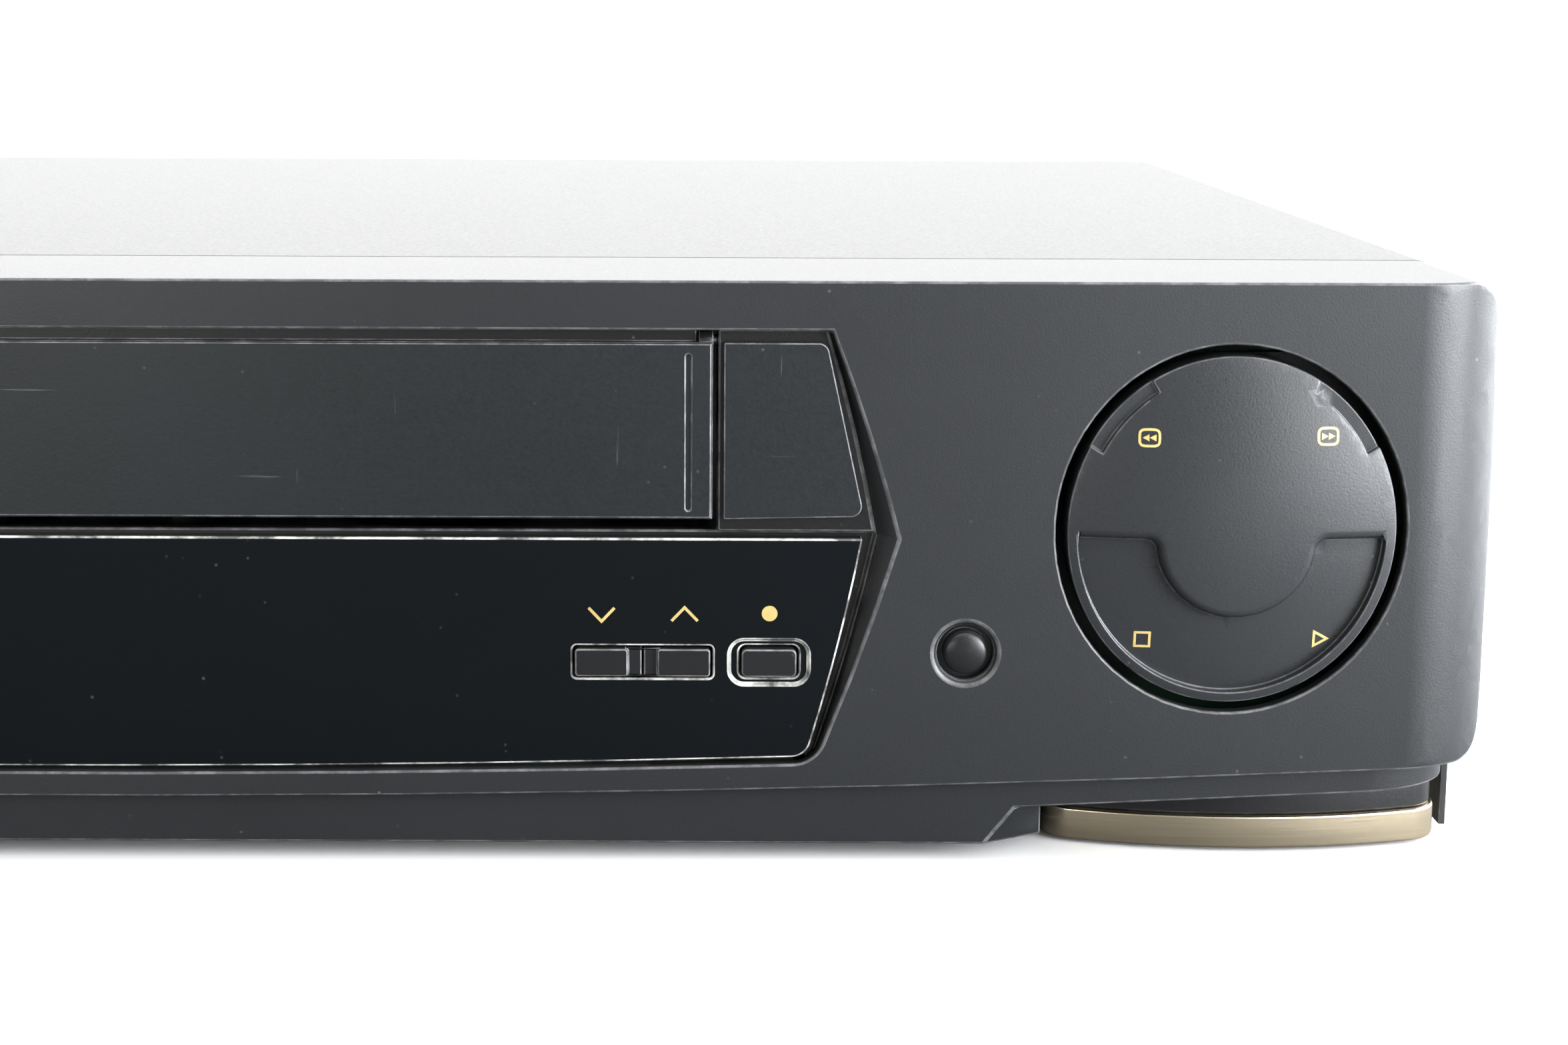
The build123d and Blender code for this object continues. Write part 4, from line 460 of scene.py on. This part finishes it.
def spun(name, profile, centre, finish_name, body, steps=48):
    """A profile of radius and depth points, turned about an axis that runs front to back."""
    work = bmesh.new()
    rings = []
    for radius, depth in profile:
        if radius == 0.0:
            rings.append([work.verts.new(place(centre[0], depth, centre[1]))])
            continue
        rings.append([work.verts.new(place(centre[0] + radius * math.cos(math.tau * i / steps), depth,
                                           centre[1] + radius * math.sin(math.tau * i / steps)))
                      for i in range(steps)])
    for first, second in zip(rings, rings[1:]):
        for index in range(steps):
            after = (index + 1) % steps
            corners = [first[index % len(first)], first[after % len(first)],
                       second[after % len(second)], second[index % len(second)]]
            work.faces.new(list(dict.fromkeys(corners)))
    bmesh.ops.recalc_face_normals(work, faces=work.faces)
    mesh = bpy.data.meshes.new(name)
    work.to_mesh(mesh)
    work.free()
    mesh.materials.append(FINISHES[finish_name])
    piece = show(name, mesh)
    for polygon in mesh.polygons:
        polygon.use_smooth = True
    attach(piece, body)
    return piece


ROUND_KEY_X, ROUND_KEY_Z, CROWN_RADIUS, CROWN_RISE = 136.6, 32.3, 3.05, 0.75


def key_crown(name, x, front, body):
    """A low dome on a round key, closed behind."""
    profile = [(0.0, front - CROWN_RISE)]
    for step in range(1, 9):
        turn = QUARTER * step / 8
        profile.append((CROWN_RADIUS * math.sin(turn), front - CROWN_RISE * math.cos(turn)))
    profile += [(CROWN_RADIUS, front + 0.3), (0.0, front + 0.3)]
    spun(name, profile, (x, ROUND_KEY_Z), "key_plastic", body)


QUARTER = math.pi / 2
for button, body in (("timer_button", "timer"), ("power_button", "power")):
    low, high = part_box(button)
    side = 1 if low[0] + high[0] > 0 else -1
    key_crown(button.replace("_button", "_crown"), side * ROUND_KEY_X, (low[1] - FRONT_Y) / MM, body)


# ---------------------------------------------------------------- printed marks

def stroke_quads(points, width, closed=False):
    """A line of even width as four-cornered patches with mitred corners."""
    count = len(points)
    sides = []
    for index, point in enumerate(points):
        before = points[index - 1] if closed or index > 0 else None
        after = points[(index + 1) % count] if closed or index < count - 1 else None
        directions = []
        if before is not None:
            directions.append((Vector(point) - Vector(before)).normalized())
        if after is not None:
            directions.append((Vector(after) - Vector(point)).normalized())
        normals = [Vector((-d.y, d.x)) for d in directions]
        middle = sum(normals, Vector((0.0, 0.0))).normalized()
        reach = width / 2 / max(0.3, middle.dot(normals[0]))
        sides.append((Vector(point) + middle * reach, Vector(point) - middle * reach))
    pairs = zip(range(count), list(range(1, count)) + [0])
    quads = []
    for start, end in pairs:
        if end == 0 and not closed:
            continue
        quads.append([sides[start][0], sides[end][0], sides[end][1], sides[start][1]])
    return quads


def screen_outline(x, z, half_width, half_height):
    """A small box with bulged sides, as round a picture tube."""
    points = []
    for index in range(24):
        turn = math.tau * index / 24
        c, s = math.cos(turn), math.sin(turn)
        points.append((x + half_width * math.copysign(abs(c) ** 0.5, c),
                       z + half_height * math.copysign(abs(s) ** 0.5, s)))
    return points


def printed(name, patches, surface, body):
    """Flat printed patches laid just proud of a surface; a patch is a list of x, z points."""
    work = bmesh.new()
    for patch in patches:
        front = []
        back = []
        for x, z in patch:
            depth = surface(x, z)
            front.append(work.verts.new(place(x, depth - 0.035, z)))
            back.append(work.verts.new(place(x, depth + 0.12, z)))
        work.faces.new(front)
        work.faces.new(back[::-1])
        for index in range(len(patch)):
            after = (index + 1) % len(patch)
            work.faces.new([front[after], front[index], back[index], back[after]])
    bmesh.ops.recalc_face_normals(work, faces=work.faces)
    mesh = bpy.data.meshes.new(name)
    work.to_mesh(mesh)
    work.free()
    mesh.materials.append(FINISHES["gold_print"])
    piece = show(name, mesh)
    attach(piece, body)
    return piece


def window_face(x, z):
    return 1.0


def disc_points(x, z, radius, count=28):
    return [(x + radius * math.cos(math.tau * i / count), z + radius * math.sin(math.tau * i / count))
            for i in range(count)]


STROKE = 0.42
printed("channel_down_mark", stroke_quads([(81.8, 38.66), (83.68, 36.65), (85.56, 38.66)], STROKE),
        window_face, "chassis")
printed("channel_up_mark", stroke_quads([(93.85, 36.75), (95.75, 38.75), (97.65, 36.75)], STROKE),
        window_face, "chassis")
printed("record_mark", [disc_points(108.1, 37.9, 1.15)], window_face, "chassis")


def dial_marks():
    """Rewind and forward in small screens on the dome; stop and play on the crescent's floor."""
    upper = []
    for x, z, way in ((162.05, 64.4, -1), (187.55, 64.7, 1)):
        upper += stroke_quads(screen_outline(x, z, 1.42, 1.18), 0.36, closed=True)
        for start in (-0.95, 0.05):
            tip = x + way * (start + 0.95)
            back = x + way * start
            upper.append([(tip, z), (back, z + 0.5), (back, z - 0.5)])
    lower = stroke_quads([(161.2, 33.3), (163.3, 33.3), (163.3, 35.4), (161.2, 35.4)], 0.36, closed=True)
    lower += stroke_quads([(187.2, 33.45), (189.15, 34.5), (187.2, 35.6)], 0.36, closed=True)
    printed("dial_upper_marks", upper, dome_depth, "dial")
    printed("dial_lower_marks", lower, lambda x, z: dome_depth(x, z, CRESCENT_DROP), "dial")


dial_marks()


# ---------------------------------------------------------------- repeated small parts

def join_and_finish(tree, give, geometry, finish_input):
    """Instances made real and given their finish."""
    real = put(tree, "GeometryNodeRealizeInstances", {"Geometry": geometry}).outputs[0]
    painted = put(tree, "GeometryNodeSetMaterial", {"Geometry": real, "Material": finish_input}).outputs[0]
    tree.links.new(painted, give["Geometry"])


def row_inputs(extra):
    inputs = {"Count": ("NodeSocketInt", 2), "First": ("NodeSocketVector", None),
              "Step": ("NodeSocketVector", None), "Facing": ("NodeSocketVector", None)}
    inputs.update({key: (FLOAT, value) for key, value in extra.items()})
    inputs["Finish"] = ("NodeSocketMaterial", None)
    return inputs


def row_of(tree, take, shape):
    """The shape at every point of a straight row, turned to face one way."""
    points = put(tree, "GeometryNodeMeshLine", {"Count": take["Count"], "Start Location": take["First"],
                                                "Offset": take["Step"]}, mode="OFFSET").outputs[0]
    turn = put(tree, "FunctionNodeEulerToRotation", {0: take["Facing"]}).outputs[0]
    return put(tree, "GeometryNodeInstanceOnPoints",
               {"Points": points, "Instance": shape, "Rotation": turn}).outputs[0]


def screw_row_tree():
    """Pan-head screws with a cross recess; each head stands on its point, along local Z."""
    extra = {"Head Radius": 3.4 * MM, "Head Height": 1.8 * MM, "Shank Radius": 1.5 * MM,
             "Shank Length": 8 * MM, "Recess Width": 0.7 * MM}
    tree, take, give = group_tree("screw_row", "GeometryNodeTree", row_inputs(extra),
                                  {"Geometry": "NodeSocketGeometry"})
    half = maths(tree, "MULTIPLY", take["Head Height"], 0.5)
    head = put(tree, "GeometryNodeMeshCylinder", {"Vertices": 32, "Fill Segments": 5, "Radius": take["Head Radius"],
                                                  "Depth": take["Head Height"]}, fill_type="TRIANGLE_FAN").outputs[0]
    where = put(tree, "GeometryNodeInputPosition").outputs[0]
    parts = put(tree, "ShaderNodeSeparateXYZ", {0: where}).outputs
    flat = put(tree, "ShaderNodeCombineXYZ", {0: parts[0], 1: parts[1]}).outputs[0]
    out = put(tree, "ShaderNodeVectorMath", {0: flat}, operation="LENGTH").outputs["Value"]
    share = maths(tree, "DIVIDE", out, take["Head Radius"])
    fall = maths(tree, "MULTIPLY", maths(tree, "MULTIPLY", share, share), take["Head Height"])
    above = maths(tree, "GREATER_THAN", parts[2], 0.0)
    drop = maths(tree, "MULTIPLY", maths(tree, "MULTIPLY", fall, above), -0.45)
    move = put(tree, "ShaderNodeCombineXYZ", {2: maths(tree, "ADD", drop, half)}).outputs[0]
    head = put(tree, "GeometryNodeSetPosition", {"Geometry": head, "Offset": move}).outputs[0]
    long_side = maths(tree, "MULTIPLY", take["Head Radius"], 1.15)
    deep = maths(tree, "MULTIPLY", take["Head Height"], 1.1)
    bars = []
    for first, second in ((long_side, take["Recess Width"]), (take["Recess Width"], long_side)):
        size = put(tree, "ShaderNodeCombineXYZ", {0: first, 1: second, 2: deep}).outputs[0]
        cube = put(tree, "GeometryNodeMeshCube", {"Size": size}).outputs[0]
        lift = put(tree, "ShaderNodeCombineXYZ", {2: take["Head Height"]}).outputs[0]
        bars.append(put(tree, "GeometryNodeTransform", {"Geometry": cube, "Translation": lift}).outputs[0])
    cut = put(tree, "GeometryNodeMeshBoolean", {"Mesh 1": head}, operation="DIFFERENCE")
    for bar in bars:
        tree.links.new(bar, cut.inputs["Mesh 2"])
    shank = put(tree, "GeometryNodeMeshCylinder", {"Vertices": 20, "Radius": take["Shank Radius"],
                                                   "Depth": take["Shank Length"]}).outputs[0]
    down = maths(tree, "MULTIPLY", take["Shank Length"], -0.5)
    sink = put(tree, "ShaderNodeCombineXYZ", {2: down}).outputs[0]
    shank = put(tree, "GeometryNodeTransform", {"Geometry": shank, "Translation": sink}).outputs[0]
    both = tree.nodes.new("GeometryNodeJoinGeometry")
    tree.links.new(cut.outputs["Mesh"], both.inputs[0])
    tree.links.new(shank, both.inputs[0])
    join_and_finish(tree, give, row_of(tree, take, both.outputs[0]), take["Finish"])
    return tree


def rim_row_tree():
    """Raised rims pressed round a row of slots; each lies in its local XY plane."""
    extra = {"Width": 3 * MM, "Height": 22 * MM, "Corner": 0.5 * MM, "Bead": 0.35 * MM}
    tree, take, give = group_tree("rim_row", "GeometryNodeTree", row_inputs(extra),
                                  {"Geometry": "NodeSocketGeometry"})
    path = put(tree, "GeometryNodeCurvePrimitiveQuadrilateral",
               {"Width": take["Width"], "Height": take["Height"]}).outputs[0]
    path = put(tree, "GeometryNodeFilletCurve", {"Curve": path, "Radius": take["Corner"], "Count": 3},
               mode="POLY").outputs[0]
    bead = put(tree, "GeometryNodeCurvePrimitiveCircle", {"Resolution": 8, "Radius": take["Bead"]}).outputs[0]
    rim = put(tree, "GeometryNodeCurveToMesh", {"Curve": path, "Profile Curve": bead}).outputs[0]
    rim = put(tree, "GeometryNodeSetShadeSmooth", {"Geometry": rim}).outputs[0]
    join_and_finish(tree, give, row_of(tree, take, rim), take["Finish"])
    return tree


def leaf_row_tree():
    """Thin contact leaves, each bowed at its end."""
    extra = {"Width": 2.2 * MM, "Thickness": 0.3 * MM, "Length": 8 * MM, "Bow": 0.25 * MM}
    tree, take, give = group_tree("leaf_row", "GeometryNodeTree", row_inputs(extra),
                                  {"Geometry": "NodeSocketGeometry"})
    size = put(tree, "ShaderNodeCombineXYZ", {0: take["Width"], 1: take["Length"], 2: take["Thickness"]}).outputs[0]
    leaf = put(tree, "GeometryNodeMeshCube", {"Size": size, "Vertices Y": 7}).outputs[0]
    along = put(tree, "ShaderNodeSeparateXYZ", {0: put(tree, "GeometryNodeInputPosition").outputs[0]}).outputs[1]
    turn = maths(tree, "MULTIPLY", maths(tree, "DIVIDE", along, take["Length"]), math.tau)
    lift = maths(tree, "MULTIPLY", maths(tree, "COSINE", turn), take["Bow"])
    move = put(tree, "ShaderNodeCombineXYZ", {2: lift}).outputs[0]
    leaf = put(tree, "GeometryNodeSetPosition", {"Geometry": leaf, "Offset": move}).outputs[0]
    join_and_finish(tree, give, row_of(tree, take, leaf), take["Finish"])
    return tree


def grown(name, tree, values, finish_name, body="chassis"):
    """A piece made by a tree with these named values, then turned into a plain mesh."""
    piece = show(name, bpy.data.meshes.new(name))
    modifier = piece.modifiers.new("grown", "NODES")
    modifier.node_group = tree
    values = dict(values, Finish=FINISHES[finish_name])
    for item in tree.interface.items_tree:
        if item.item_type == "SOCKET" and item.in_out == "INPUT" and item.name in values:
            modifier[item.identifier] = values[item.name]
    plain_mesh(piece)
    piece.data.set_sharp_from_angle(angle=math.radians(40))
    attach(piece, body)
    return piece


FACING_RIGHT, FACING_LEFT, FACING_BACK = (0.0, QUARTER, 0.0), (0.0, -QUARTER, 0.0), (-QUARTER, 0.0, 0.0)
screws = screw_row_tree()
rims = rim_row_tree()
leaves = leaf_row_tree()


def row(count, first, step, facing, **sizes):
    values = {"Count": count, "First": tuple(first), "Step": tuple(v * MM for v in step), "Facing": facing}
    values.update({key.replace("_", " "): value * MM for key, value in sizes.items()})
    return values


COVER_HALF, COVER_BACK = 213.0, 290.0
SIDE_SCREW_DEPTHS, SIDE_SCREW_Z = (70.0, 255.0), 22.0
side_step = (0.0, SIDE_SCREW_DEPTHS[1] - SIDE_SCREW_DEPTHS[0], 0.0)
for name, side, facing in (("right", 1, FACING_RIGHT), ("left", -1, FACING_LEFT)):
    first = place(side * COVER_HALF, SIDE_SCREW_DEPTHS[0], SIDE_SCREW_Z)
    side_screws = grown("cover_screws_" + name, screws, row(2, first, side_step, facing, Shank_Length=9.0),
                        "screw_steel")
    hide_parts("cover_screws")
back_screws = grown("cover_screws_rear", screws,
                    row(3, place(-150.0, COVER_BACK, 82.0), (150.0, 0.0, 0.0), FACING_BACK), "screw_steel")
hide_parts("cover_screws")
for name, side in (("right", 1), ("left", -1)):
    holding = grown("bezel_screws_" + name, screws,
                    row(2, place(side * 203.5, 35.2, 27.0), (0.0, 0.0, 44.0), FACING_BACK), "screw_steel")
    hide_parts("bezel_screws")

VENT_COUNT, VENT_PITCH, VENT_WIDTH, VENT_LOW, VENT_HIGH, VENT_FIRST = 16, 6.0, 3.0, 48.0, 70.0, 178.0
for name, side, facing in (("right", 1, FACING_RIGHT), ("left", -1, FACING_LEFT)):
    first = place(side * COVER_HALF, VENT_FIRST + VENT_WIDTH / 2, (VENT_LOW + VENT_HIGH) / 2)
    pressed = grown("vent_rims_" + name, rims,
                    row(VENT_COUNT, first, (0.0, VENT_PITCH, 0.0), facing, Width=VENT_HIGH - VENT_LOW + 0.5,
                        Height=VENT_WIDTH + 0.5), "cover_paint")
rear_rims = grown("rear_vent_rims", rims,
                  row(10, place(-113.75, 289.0, 38.0), (5.0, 0.0, 0.0), FACING_BACK, Width=2.8, Height=16.3,
                      Bead=0.3), "sheet_steel")
for index, x in enumerate((10.0, 68.0)):
    for level, (z, count, start) in enumerate(((62.0, 10, -16.5), (58.4, 10, -16.5))):
        contacts = grown("scart_contacts_%d_%d" % (index + 1, level + 1), leaves,
                         row(count, place(x + start, 285.5, z), (3.6, 0.0, 0.0), (0.0, 0.0, 0.0), Width=1.8,
                             Length=9.0), "contact_metal")


# ---------------------------------------------------------------- studio

def seen_directly(tree):
    """1 where the camera looks straight at the surface, 0 in reflections and bounced light."""
    return put(tree, "ShaderNodeLightPath").outputs["Is Camera Ray"]


def studio_floor():
    """White paper to the eye; in reflections and bounced light a dim grey, with painted light in broad bands to the
    right and left.
    """
    material = bpy.data.materials.new("studio_paper")
    material.use_nodes = True
    tree = material.node_tree
    shader = tree.nodes["Principled BSDF"]
    surface = grouped(tree, grain_tree, {"Scale": 300.0, "Tone Scale": 2.0, "Tone": 0.006})
    paper = put(tree, "ShaderNodeVectorMath", {0: (0.9, 0.9, 0.9), "Scale": surface["Shade"]},
                operation="SCALE").outputs[0]
    across = put(tree, "ShaderNodeSeparateXYZ", {0: object_place(tree)}).outputs[0]
    # Painted light: the floor seen in reflections brightens to the right and left of the unit.
    to_right = spread(tree, across, 0.17, 0.45, 0.13, 0.95)
    to_left = spread(tree, across, -0.35, -0.95, 0.0, 0.45)
    painted_reflection_floor = put(tree, "ShaderNodeVectorMath", {0: (0.97, 0.985, 1.0), "Scale": maths(tree, "ADD", to_right, to_left)},
                operation="SCALE").outputs[0]
    base = mixed(tree, seen_directly(tree), painted_reflection_floor, paper)
    tree.links.new(base, shader.inputs["Base Color"])
    shader.inputs["Roughness"].default_value = 0.6
    shader.inputs["Specular IOR Level"].default_value = 0.0
    work = bmesh.new()
    bmesh.ops.create_grid(work, x_segments=8, y_segments=8, size=1.0)
    mesh = bpy.data.meshes.new("studio_floor")
    for vertex in work.verts:
        vertex.co = Vector((vertex.co.x * 6.0, -2.2 + vertex.co.y * 4.7, 0.0))
    work.to_mesh(mesh)
    work.free()
    mesh.materials.append(material)
    show("studio_floor", mesh)


studio_floor()


def soft_panel(name, where, towards, width, height, radiance, colour=(1.0, 1.0, 1.0)):
    """A soft light panel of an even brightness, turned towards a point."""
    lamp = bpy.data.lights.new(name, "AREA")
    lamp.shape = "RECTANGLE"
    lamp.size = width
    lamp.size_y = height
    lamp.energy = radiance * math.pi * width * height
    lamp.color = colour
    panel = show(name, lamp)
    panel.location = where
    panel.rotation_euler = (Vector(towards) - Vector(where)).to_track_quat("-Z", "Y").to_euler()


soft_panel("right_window", (1.5, 0.35, 0.62), (0.2, 0.0, 0.25), 1.5, 1.25, 15.0, (0.94, 0.97, 1.0))
soft_panel("right_low_card", (0.64, -0.50, 0.14), (0.19, -0.15, 0.04), 0.36, 0.24, 18.0, (0.95, 0.97, 1.0))
soft_panel("right_front_window", (0.86, -0.86, 0.40), (0.15, -0.15, 0.05), 0.95, 0.8, 7.0, (0.94, 0.97, 1.0))
soft_panel("low_left_card", (-0.32, -0.78, 0.13), (0.15, -0.13, 0.0), 0.5, 0.22, 3.5, (1.0, 0.98, 0.94))
soft_panel("back_window", (0.1, 2.6, 1.05), (0.1, 0.0, 0.98), 4.5, 1.7, 3.35)
soft_panel("front_softbox", (-0.2, -1.7, 1.7), (0.0, -0.15, 0.05), 2.4, 1.4, 0.8)
soft_panel("top_softbox", (0.1, -0.25, 2.2), (0.1, -0.2, 0.0), 2.6, 2.4, 2.2)


def studio_air():
    world = bpy.data.worlds.new("studio_air")
    world.use_nodes = True
    tree = world.node_tree
    strength = spread(tree, seen_directly(tree), 0.0, 1.0, 0.28, 1.05)
    tree.links.new(strength, tree.nodes["Background"].inputs["Strength"])
    tree.nodes["Background"].inputs["Color"].default_value = (1.0, 1.0, 1.0, 1.0)
    scene.world = world
    scene.view_settings.view_transform = "Standard"


studio_air()


def photo_camera():
    """The camera fitted to the photograph."""
    lens = bpy.data.cameras.new("photo_camera")
    lens.sensor_width = 36.0
    lens.sensor_fit = "HORIZONTAL"
    lens.lens = 59.5
    lens.shift_x = 0.0502
    lens.shift_y = -0.0455
    lens.dof.use_dof = False
    lens.clip_start = 0.01
    lens.clip_end = 60.0
    camera = bpy.data.objects.new("photo_camera", lens)
    scene.collection.objects.link(camera)
    yaw, pitch, roll = math.radians(0.01), math.radians(9.77), math.radians(0.22)
    ahead = Vector((math.sin(yaw) * math.cos(pitch), math.cos(yaw) * math.cos(pitch), -math.sin(pitch)))
    right = Vector((math.cos(yaw), -math.sin(yaw), 0.0))
    up = right.cross(ahead)
    rolled_right = math.cos(roll) * right + math.sin(roll) * up
    rolled_up = -math.sin(roll) * right + math.cos(roll) * up
    turn = Matrix((rolled_right, rolled_up, -ahead)).transposed().to_4x4()
    camera.matrix_world = Matrix.Translation(place(98.6, -366.0, 125.0)) @ turn
    scene.camera = camera


photo_camera()
